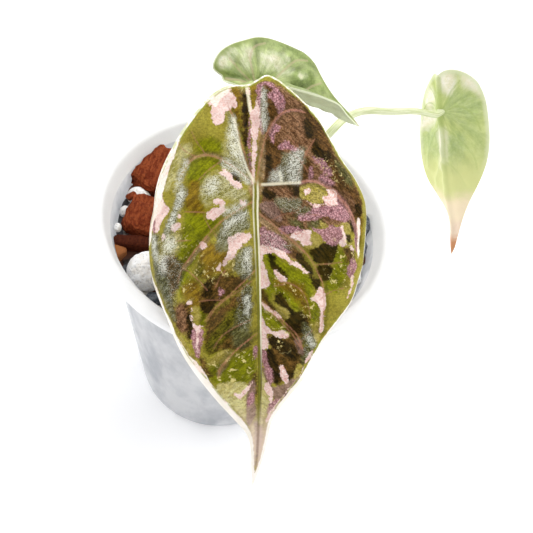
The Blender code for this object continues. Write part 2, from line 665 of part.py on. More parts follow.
def make_sheath(angle, reach):
    """One papery bract that stands beside the stalks, a thick curved blade rooted in the crown."""
    points = []
    rows, across = 7, 5
    for side in (0.0, 0.9):
        for row in range(rows):
            share = row / (rows - 1)
            spread = math.radians(62) * (1 - share ** 2.2) + math.radians(4)
            radius = 6.3 + 2.2 * share ** 2 - side
            height = CROWN_TOP - 12 + (reach + 12) * share
            for i in range(across):
                turn = math.radians(angle) + spread * (i / (across - 1) - 0.5)
                points.append((radius * math.cos(turn), radius * math.sin(turn), height))
    layer = rows * across
    faces = []
    for row in range(rows - 1):
        for i in range(across - 1):
            a = row * across + i
            b, c, d = a + 1, a + across + 1, a + across
            faces += [(a, b, c), (a, c, d)]
            faces += [(layer + c, layer + b, layer + a), (layer + d, layer + c, layer + a)]
    rim = list(range(across))
    rim += [row * across + across - 1 for row in range(1, rows)]
    rim += [(rows - 1) * across + i for i in range(across - 2, -1, -1)]
    rim += [row * across for row in range(rows - 2, 0, -1)]
    for i, j in zip(rim, rim[1:] + rim[:1]):
        faces += [(j, i, layer + i), (j, layer + i, layer + j)]
    return make_object("sheath", points, faces)


def make_crown(material):
    profile = [(0, CROWN_FOOT), (CROWN_RADIUS - 2.4, CROWN_FOOT), (CROWN_RADIUS - 0.6, CROWN_FOOT + 3.6)]
    for ring in range(4):
        height = CROWN_FOOT + 6.0 + ring * 4.2
        profile += [(CROWN_RADIUS - 0.12 * ring, height), (CROWN_RADIUS - 0.45 - 0.12 * ring, height + 2.6)]
    profile += [(6.5, CROWN_TOP - 1.2), (5.9, CROWN_TOP), (0, CROWN_TOP)]
    crown = revolve("crown", profile, 20, material)
    cut(crown, [make_sheath(182, 15.0), make_sheath(-28, 11.0)], "UNION")
    sockets = []
    for leaf in LEAVES.values():
        line = stalk_line(leaf)
        radius = leaf["stalk_radius"][0] + GAP
        foot = CROWN_TOP - SOCKET_DEPTH - GAP
        socket = revolve("socket", [(0, foot), (radius, foot), (radius, CROWN_TOP + 4), (0, CROWN_TOP + 4)], 14)
        socket.location = (line[0][0] * MM, line[0][1] * MM, 0)
        sockets.append(socket)
    cut(crown, sockets)
    return crown


def main():
    clear_scene()
    holder = bpy.data.objects.new("potted_alocasia", None)
    bpy.context.scene.collection.objects.link(holder)
    pieces = [
        make_pot(make_material("frosted_plastic", (0.86, 0.88, 0.90), 0.35, alpha=0.45)),
        make_mix(make_material("bark_and_pumice", (0.20, 0.10, 0.06), 0.9)),
        make_crown(make_material("stem_base", (0.36, 0.30, 0.16), 0.6)),
    ]
    for name, leaf in LEAVES.items():
        blade = make_material("blade_" + name, leaf["colour"], 0.35)
        stalk = make_material("petiole_" + name, (0.42, 0.46, 0.18), 0.45)
        pieces.append(make_blade("blade_" + name, leaf, blade))
        pieces.append(make_stalk("petiole_" + name, leaf, stalk))
    for piece in pieces:
        piece.parent = holder


main()
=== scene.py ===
import json
import math
import random

import bmesh
import bpy
import numpy as np
from mathutils import Matrix, Vector, noise
from mathutils.geometry import delaunay_2d_cdt

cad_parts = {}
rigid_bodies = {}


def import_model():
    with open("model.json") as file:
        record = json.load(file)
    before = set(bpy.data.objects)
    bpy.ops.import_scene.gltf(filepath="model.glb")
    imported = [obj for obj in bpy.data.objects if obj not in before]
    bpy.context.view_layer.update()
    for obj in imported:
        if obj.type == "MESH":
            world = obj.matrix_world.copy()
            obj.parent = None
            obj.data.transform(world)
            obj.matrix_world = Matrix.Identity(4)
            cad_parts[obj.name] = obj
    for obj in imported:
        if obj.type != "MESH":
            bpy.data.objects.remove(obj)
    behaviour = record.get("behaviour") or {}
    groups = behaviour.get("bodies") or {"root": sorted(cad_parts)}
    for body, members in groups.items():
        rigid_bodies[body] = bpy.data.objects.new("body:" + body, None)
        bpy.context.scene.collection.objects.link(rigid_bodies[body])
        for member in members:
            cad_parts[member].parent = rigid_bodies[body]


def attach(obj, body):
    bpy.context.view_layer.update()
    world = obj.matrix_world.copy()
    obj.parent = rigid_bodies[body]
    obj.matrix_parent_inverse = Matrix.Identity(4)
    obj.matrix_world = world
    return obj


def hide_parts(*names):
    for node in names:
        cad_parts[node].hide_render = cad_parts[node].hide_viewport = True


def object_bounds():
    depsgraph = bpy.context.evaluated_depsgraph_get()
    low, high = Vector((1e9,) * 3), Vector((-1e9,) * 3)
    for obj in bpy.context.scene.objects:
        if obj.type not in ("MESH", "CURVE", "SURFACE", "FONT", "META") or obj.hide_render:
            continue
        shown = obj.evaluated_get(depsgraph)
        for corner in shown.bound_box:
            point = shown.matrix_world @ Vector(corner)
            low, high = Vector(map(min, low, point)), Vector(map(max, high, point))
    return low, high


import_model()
cadBox = [list(corner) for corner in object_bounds()]
mm = 0.001


def shade(code):  # a hex shade as the linear values that a shader reads
    parts = [int(code[i:i + 2], 16) / 255 for i in (0, 2, 4)]
    linear = [p / 12.92 if p < 0.04045 else ((p + 0.055) / 1.055) ** 2.4 for p in parts]
    return (*linear, 1.0)


class Wire:  # an output socket; sums on it become Math nodes
    def __init__(self, finish, socket):
        self.finish = finish
        self.socket = socket

    def math(self, operation, first, second):
        return self.finish.node("Math", {"operation": operation}, {0: first, 1: second})

    def __add__(self, other):
        return self.math("ADD", self, other)

    def __sub__(self, other):
        return self.math("SUBTRACT", self, other)

    def __mul__(self, other):
        return self.math("MULTIPLY", self, other)

    def __rsub__(self, other):
        return self.math("SUBTRACT", other, self)

    __radd__ = __add__
    __rmul__ = __mul__


class Finish:  # one node tree, of a material or of the world
    def __init__(self, tree):
        self.tree = tree

    def node(self, kind, settings=None, values=None, output=0):
        made = self.tree.nodes.new("ShaderNode" + kind)
        for key, value in (settings or {}).items():
            setattr(made, key, value)
        for key, value in (values or {}).items():
            self.put(made.inputs[key], value)
        return Wire(self, made.outputs[output])

    def put(self, socket, value):
        if isinstance(value, Wire):
            self.tree.links.new(value.socket, socket)
        else:
            socket.default_value = value

    def kept(self, name, output="Fac"):  # what the mesh keeps at each point
        return self.node("Attribute", {"attribute_name": name}, output=output)

    def ramp(self, value, low, high):  # 0 at low, 1 at high, smooth between
        return self.node("MapRange", {"interpolation_type": "SMOOTHSTEP"}, {0: value, 1: low, 2: high})

    def band(self, value, centre, half, soft):  # 1 within half of the centre
        return 1 - self.ramp(self.size(value - centre), half - soft, half + soft)

    def mix(self, share, first, second, blend="MIX"):
        settings = {"data_type": "RGBA", "blend_type": blend}
        return self.node("Mix", settings, {0: share, 6: first, 7: second}, 2)

    def blots(self, where, scale, detail=2.0, roughness=0.5):  # soft noise from 0 to 1
        values = {"Vector": where, "Scale": scale, "Detail": detail, "Roughness": roughness}
        return self.node("TexNoise", {}, values)

    def cells(self, where, scale, feature="F1"):  # the distance to the middles or the edges of cells
        return self.node("TexVoronoi", {"feature": feature}, {"Vector": where, "Scale": scale}, "Distance")

    def stretch(self, where, across, along, deep=1.0):
        return self.node("VectorMath", {"operation": "MULTIPLY"}, {0: where, 1: (across, along, deep)})

    def higher(self, first, second):
        return self.node("Math", {"operation": "MAXIMUM"}, {0: first, 1: second})

    def size(self, value):  # a number without its sign
        return self.node("Math", {"operation": "ABSOLUTE"}, {0: value})

    def axis(self, vector, number):  # 0, 1 or 2 of a vector
        return self.node("SeparateXYZ", {}, {0: vector}, number)

    def bump(self, height, distance, strength=1.0):
        return self.node("Bump", {}, {"Height": height, "Distance": distance, "Strength": strength})

    def millimetres(self):  # the place of a point in the row frame
        where = self.node("TexCoord", output="Object")
        return self.node("VectorMath", {"operation": "SCALE"}, {0: where, "Scale": 1 / mm})

    def feed(self, **values):  # to the shader's own sockets
        for key, value in values.items():
            self.put(self.surface[key.replace("_", " ")], value)
        return self


def newMaterial(name, **constants):
    material = bpy.data.materials.new(name)
    material.use_nodes = True
    finish = Finish(material.node_tree)
    finish.material = material
    finish.surface = material.node_tree.nodes["Principled BSDF"].inputs
    return finish.feed(**constants)


def newPiece(name, points, faces, finish, sharp=40, kept=None):
    mesh = bpy.data.meshes.new(name)
    mesh.from_pydata((np.asarray(points, float) * mm).tolist(), [], faces)
    mesh.update()
    mesh.shade_smooth()
    mesh.set_sharp_from_angle(angle=math.radians(sharp))
    mesh.materials.append(finish.material)
    for key, values in (kept or {}).items():
        values = np.asarray(values, np.float32)
        kind, field = ("FLOAT", "value") if values.ndim == 1 else ("FLOAT_VECTOR", "vector")
        mesh.attributes.new(key, kind, "POINT").data.foreach_set(field, values.ravel())
    piece = bpy.data.objects.new(name, mesh)
    bpy.context.scene.collection.objects.link(piece)
    return piece


def settle(piece, node=None):  # the piece rides with the plant, and may stand for a node
    if node:
        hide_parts(node)
    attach(piece, "root")


def smoothLine(points, closed=False, step=1.0):  # a Catmull-Rom line, even along its length
    knots = np.array(points, float)
    count = len(knots)
    line = []
    for i in range(count if closed else count - 1):
        if closed:
            p0, p1, p2, p3 = (knots[(i + k) % count] for k in (-1, 0, 1, 2))
        else:
            p0, p1, p2, p3 = knots[max(i - 1, 0)], knots[i], knots[i + 1], knots[min(i + 2, count - 1)]
        for t in np.arange(0, 1, 0.05):
            line.append(0.5 * (2 * p1 + (p2 - p0) * t + (2 * p0 - 5 * p1 + 4 * p2 - p3) * t ** 2
                               + (3 * p1 - p0 - 3 * p2 + p3) * t ** 3))
    line.append(knots[0] if closed else knots[-1])
    line = np.array(line)
    lengths = np.concatenate([[0], np.cumsum(np.linalg.norm(np.diff(line, axis=0), axis=1))])
    even = np.linspace(0, lengths[-1], max(2, round(lengths[-1] / step)) + 1)
    line = np.stack([np.interp(even, lengths, line[:, k]) for k in range(line.shape[1])], axis=1)
    return line[:-1] if closed else line


def distanceTo(points, lines):  # to the nearest of several open lines
    best = np.full(len(points), 1e9)
    for line in lines:
        start, run = line[:-1], np.diff(line, axis=0)
        size = np.maximum((run * run).sum(1), 1e-9)
        for first in range(0, len(points), 4000):  # in lots, to spare memory
            lot = slice(first, first + 4000)
            offset = points[lot, None, :] - start[None]
            along = np.clip((offset * run).sum(2) / size, 0, 1)
            away = offset - along[:, :, None] * run
            best[lot] = np.minimum(best[lot], np.sqrt((away ** 2).sum(2).min(1)))
    return best


def depthIn(points, edge):  # how far each point lies inside an outline, negative outside
    inside = np.zeros(len(points), bool)
    for (x1, y1), (x2, y2) in zip(edge, np.roll(edge, -1, axis=0)):
        if y1 != y2:
            crosses = (y1 > points[:, 1]) != (y2 > points[:, 1])
            inside ^= crosses & (points[:, 0] < (x2 - x1) * (points[:, 1] - y1) / (y2 - y1) + x1)
    away = distanceTo(points, [np.vstack([edge, edge[:1]])])
    return np.where(inside, away, -away)


def patchDepth(points, patches, reach=3.0):  # the same inside the nearest of several patches
    depth = np.full(len(points), -reach)
    for corners in patches:
        edge = smoothLine(corners, closed=True, step=0.5)
        near = np.all((points > edge.min(0) - reach) & (points < edge.max(0) + reach), axis=1)
        if near.any():
            depth[near] = np.maximum(depth[near], depthIn(points[near], edge))
    return np.maximum(depth, -reach)


def ringFaces(rows, sides):  # the skin over rows of rings
    faces = []
    for low in range(0, (rows - 1) * sides, sides):
        for i in range(sides):
            j = (i + 1) % sides
            faces.append((low + i, low + j, low + sides + j, low + sides + i))
    return faces


def capFaces(sides, last, foot, top):  # closes the first and the last ring at two points
    faces = []
    for i in range(sides):
        j = (i + 1) % sides
        faces += [(j, i, foot), (last + i, last + j, top)]
    return faces


# Each leaf has flat coordinates in mm: x across, y from the stalk's junction towards the notch.
leaves = {
    "front": {
        "junction": (0.54, -18.24, 122.31),
        "tipWay": (0.200, -0.787, -0.584),
        "faceWay": (-0.041, -0.602, 0.797),
        "rise": (14.0, 14.0),
        "lobeRise": (14.0, 14.0),
        "edge": (-38.0, -38.0),
        "halfWidth": 28.0,
        "droop": (0.0035, 0.006),
        "puff": 1.2,
        "curl": 0.9,
        "right": (
            (0.2, 28.3), (2.6, 29.4), (5.5, 28.2), (8.2, 26.1), (10.7, 24.1), (14.0, 21.1), (17.5, 17.3),
            (20.6, 12.6), (24.2, 7.6), (29.0, 2.7), (32.6, -2.6), (33.6, -6.4), (33.4, -10.4),
            (32.6, -15.8), (31.7, -20.8), (29.9, -24.8), (27.5, -30.2), (22.9, -35.3), (18.7, -40.4),
            (15.7, -45.6), (12.9, -50.8), (8.6, -56.2), (4.9, -61.9), (3.6, -67.7), (2.3, -73.6),
            (0.7, -79.0),
        ),
        "tip": (-0.2, -81.6),
        "left": (
            (-0.4, -76.5), (-0.5, -71.4), (-1.6, -66.4), (-5.0, -62.0), (-10.2, -56.4), (-14.8, -51.2),
            (-19.0, -46.2), (-22.3, -41.1), (-24.9, -35.9), (-28.0, -30.7), (-30.7, -25.4),
            (-32.0, -19.0), (-31.6, -11.6), (-29.9, -6.1), (-29.0, -0.7), (-26.7, 4.6), (-23.3, 9.8),
            (-19.7, 14.8), (-16.0, 19.4), (-12.6, 23.1), (-9.1, 25.6), (-5.9, 26.5), (-2.4, 27.0),
        ),
        "midrib": (
            (0.1, -80.2), (0.9, -74.0), (1.3, -66.0), (1.5, -55.0), (1.5, -45.0), (0.9, -24.0),
            (0.1, -7.7), (0.0, 0.0), (-0.9, 10.3), (-1.4, 15.5), (-2.4, 26.2),
        ),
        "ribs": (
            ((0.0, 0.0), (-2.0, 5.1), (-4.7, 13.8), (-7.4, 20.8)),
            ((0.0, 0.0), (1.1, 6.4), (3.6, 15.2), (8.2, 19.5), (13.2, 19.1)),
            ((0.0, 0.0), (9.6, 0.6), (15.7, 1.0), (23.3, -3.1), (28.0, -9.0), (29.0, -14.6)),
            ((0.5, -6.9), (9.8, -14.3), (15.1, -19.9), (18.2, -27.5), (17.9, -37.4)),
            ((1.1, -29.0), (6.9, -34.3), (11.2, -38.6), (12.8, -42.7)),
            ((0.0, 0.0), (-4.6, 3.7), (-9.0, 6.4), (-13.4, 7.5), (-17.4, 5.9), (-19.9, 2.3)),
            ((0.0, -3.9), (-8.3, -9.1), (-14.0, -15.0), (-19.2, -21.6), (-20.7, -25.8)),
            ((0.8, -21.3), (-5.9, -27.7), (-11.0, -32.4), (-13.1, -35.4)),
            ((1.4, -37.9), (-4.7, -42.6), (-9.4, -48.4)),
        ),
        "stalk": ((-0.4, -2.9), (-0.4, -3.4, 92.0), (0.0, -5.6, 103.0), (0.5, -9.8, 111.5)),
        "stalkRadius": (2.3, 1.5),
    },
    "middle": {
        "junction": (-5.1, 23.54, 120.26),
        "tipWay": (0.876, 0.372, -0.307),
        "faceWay": (0.321, 0.025, 0.947),
        "rise": (39.6, 66.0),
        "lobeRise": (39.6, 48.0),
        "edge": (5.8, 30.0),
        "halfWidth": 16.6,
        "droop": (0.007, 0.006),
        "puff": 0.7,
        "curl": 0.4,
        "right": (
            (0.9, 11.2), (2.4, 13.8), (4.6, 13.9), (8.1, 12.0), (11.1, 8.5), (13.8, 3.8), (15.9, -0.2),
            (16.9, -4.3), (16.9, -9.0), (16.5, -13.9), (16.0, -17.6), (13.8, -21.0), (10.7, -23.1),
            (8.3, -25.2), (6.2, -27.8), (4.5, -31.0), (3.2, -34.6), (1.6, -39.6),
        ),
        "tip": (0.0, -43.4),
        "left": (
            (-1.6, -38.6), (-3.4, -33.6), (-6.0, -29.0), (-8.8, -25.0), (-11.2, -21.0), (-12.8, -16.8),
            (-13.6, -12.2), (-14.2, -7.2), (-14.0, -2.0), (-12.6, 3.0), (-10.4, 7.2), (-7.2, 10.2),
            (-3.8, 11.4), (-1.4, 10.8),
        ),
        "midrib": ((0.0, -42.4), (0.0, -30.0), (0.0, -14.0), (0.0, 0.0), (0.0, 9.8)),
        "ribs": (
            ((0.0, 0.0), (3.0, 5.4), (6.4, 9.0)),
            ((0.0, 0.0), (6.0, 2.4), (11.4, 1.4), (14.4, -3.0)),
            ((0.0, -3.6), (6.0, -8.2), (11.4, -13.4), (13.0, -18.0)),
            ((0.0, -14.5), (4.2, -18.8), (7.2, -23.4)),
            ((0.0, 0.0), (-2.6, 4.8), (-5.6, 8.2)),
            ((0.0, 0.0), (-5.6, 2.2), (-9.8, 0.8), (-12.0, -3.6)),
            ((0.0, -3.6), (-5.4, -8.2), (-9.4, -13.4), (-10.2, -17.6)),
            ((0.0, -14.5), (-4.0, -18.8), (-6.8, -23.4)),
        ),
        "stalk": ((-2.6, 2.5), (-2.8, 3.7, 92.6), (-4.0, 8.2, 98.6), (-5.9, 15.4, 105.0), (-7.2, 20.6, 109.2)),
        "stalkRadius": (2.1, 1.2),
    },
    "back": {
        "junction": (61.4, 67.94, 91.72),
        "tipWay": (0.3756, -0.3842, -0.8434),
        "faceWay": (0.5766, 0.8093, -0.1118),
        "rise": (40.0, 40.0),
        "lobeRise": (40.0, 40.0),
        "edge": (15.0, 15.0),
        "halfWidth": 18.0,
        "droop": (0.0004, 0.004),
        "puff": 0.6,
        "curl": 0.3,
        "right": (
            (0.4, 13.2), (2.4, 13.6), (6.6, 10.2), (10.2, 6.4), (12.6, 2.4), (14.1, -1.6), (15.4, -6.4),
            (16.3, -11.4), (16.7, -16.2), (16.6, -20.6), (16.0, -24.6), (14.8, -28.2), (12.7, -31.5),
            (9.6, -34.2), (6.4, -36.6), (3.0, -39.0), (0.8, -42.0), (0.1, -47.0), (0.1, -52.4),
        ),
        "tip": (-0.3, -58.0),
        "left": (
            (-1.8, -54.4), (-3.0, -50.4), (-4.6, -45.4), (-6.0, -41.4), (-8.4, -35.8), (-10.9, -31.0),
            (-13.2, -26.2), (-15.0, -21.4), (-16.1, -16.6), (-16.6, -12.0), (-16.6, -7.4), (-16.4, -2.8),
            (-16.0, 1.4), (-15.0, 5.4), (-13.4, 9.0), (-10.8, 11.8), (-7.6, 13.8), (-4.4, 14.8),
            (-1.6, 14.6),
        ),
        "midrib": (
            (-0.5, -57.0), (-1.3, -51.0), (-1.6, -44.0), (-0.6, -35.0), (0.0, -26.0), (0.0, 0.0),
            (-0.2, 12.4),
        ),
        "ribs": (
            ((0.0, 0.0), (3.0, 5.6), (6.2, 8.0)),
            ((0.0, 0.0), (6.6, 2.0), (11.6, -1.0), (13.8, -7.4)),
            ((0.0, -5.4), (6.4, -11.0), (11.2, -18.6), (12.2, -24.6)),
            ((0.0, -18.6), (4.8, -24.2), (7.8, -30.4)),
            ((0.0, 0.0), (-3.4, 6.4), (-7.4, 10.6)),
            ((0.0, 0.0), (-6.6, 1.2), (-11.6, -2.8), (-13.6, -8.4)),
            ((0.0, -5.4), (-6.0, -11.4), (-10.6, -18.0), (-11.6, -23.4)),
            ((0.0, -18.6), (-4.4, -24.0), (-7.2, -29.8)),
        ),
        "stalk": (
            (2.7, 2.4), (3.9, 4.6, 94.6), (7.6, 11.4, 97.6), (13.4, 22.4, 98.4), (19.0, 32.0, 97.9),
            (24.6, 43.4, 98.0), (29.3, 49.0, 97.7), (33.7, 51.9, 97.4), (41.0, 55.2, 96.4),
            (51.0, 60.4, 94.9),
        ),
        "stalkRadius": (2.0, 1.15),
    },
}

blade = {
    "spacing": {"front": 0.5, "middle": 0.6, "back": 0.7},
    "thickness": 0.75,
    "marginThickness": 0.45,
    "marginReach": 1.2,
    "lobeBlend": 8.0,
    "foldSoftness": 0.8,
    "normalStep": 0.6,
    "freeReach": 3.0,  # the relief grows over this distance from the margin
    "curlReach": 2.6,
    "ribReach": 3.6,
    "fineReach": 1.5,
    "finePuff": 0.28,
    "fineSink": 0.6,
    "lumps": 0.09,
    "waves": ((0.4, 8.3), (1.5, 6.1), (2.3, 7.2), (0.9, 4.6), (2.8, 5.3)),  # way in radians, length in mm
    "cord": (0.3, 0.55),  # height and reach of the raised midrib
    "furrow": (0.22, 1.3, 0.5),  # depth, place and reach of the furrows beside it
    "keel": (0.8, 1.3),
    "lobeKeel": 0.5,
    "ridge": (0.35, 1.1),
    "veinEnd": 2.0,  # keel and ridges fade over this distance from the margin
    "pad": (0.7, 2.6),
    "spokes": 14,
    "cordEnds": (1.5, 2.5, -66.0, 12.0),  # where the drawn midrib ends, and over what distance
}

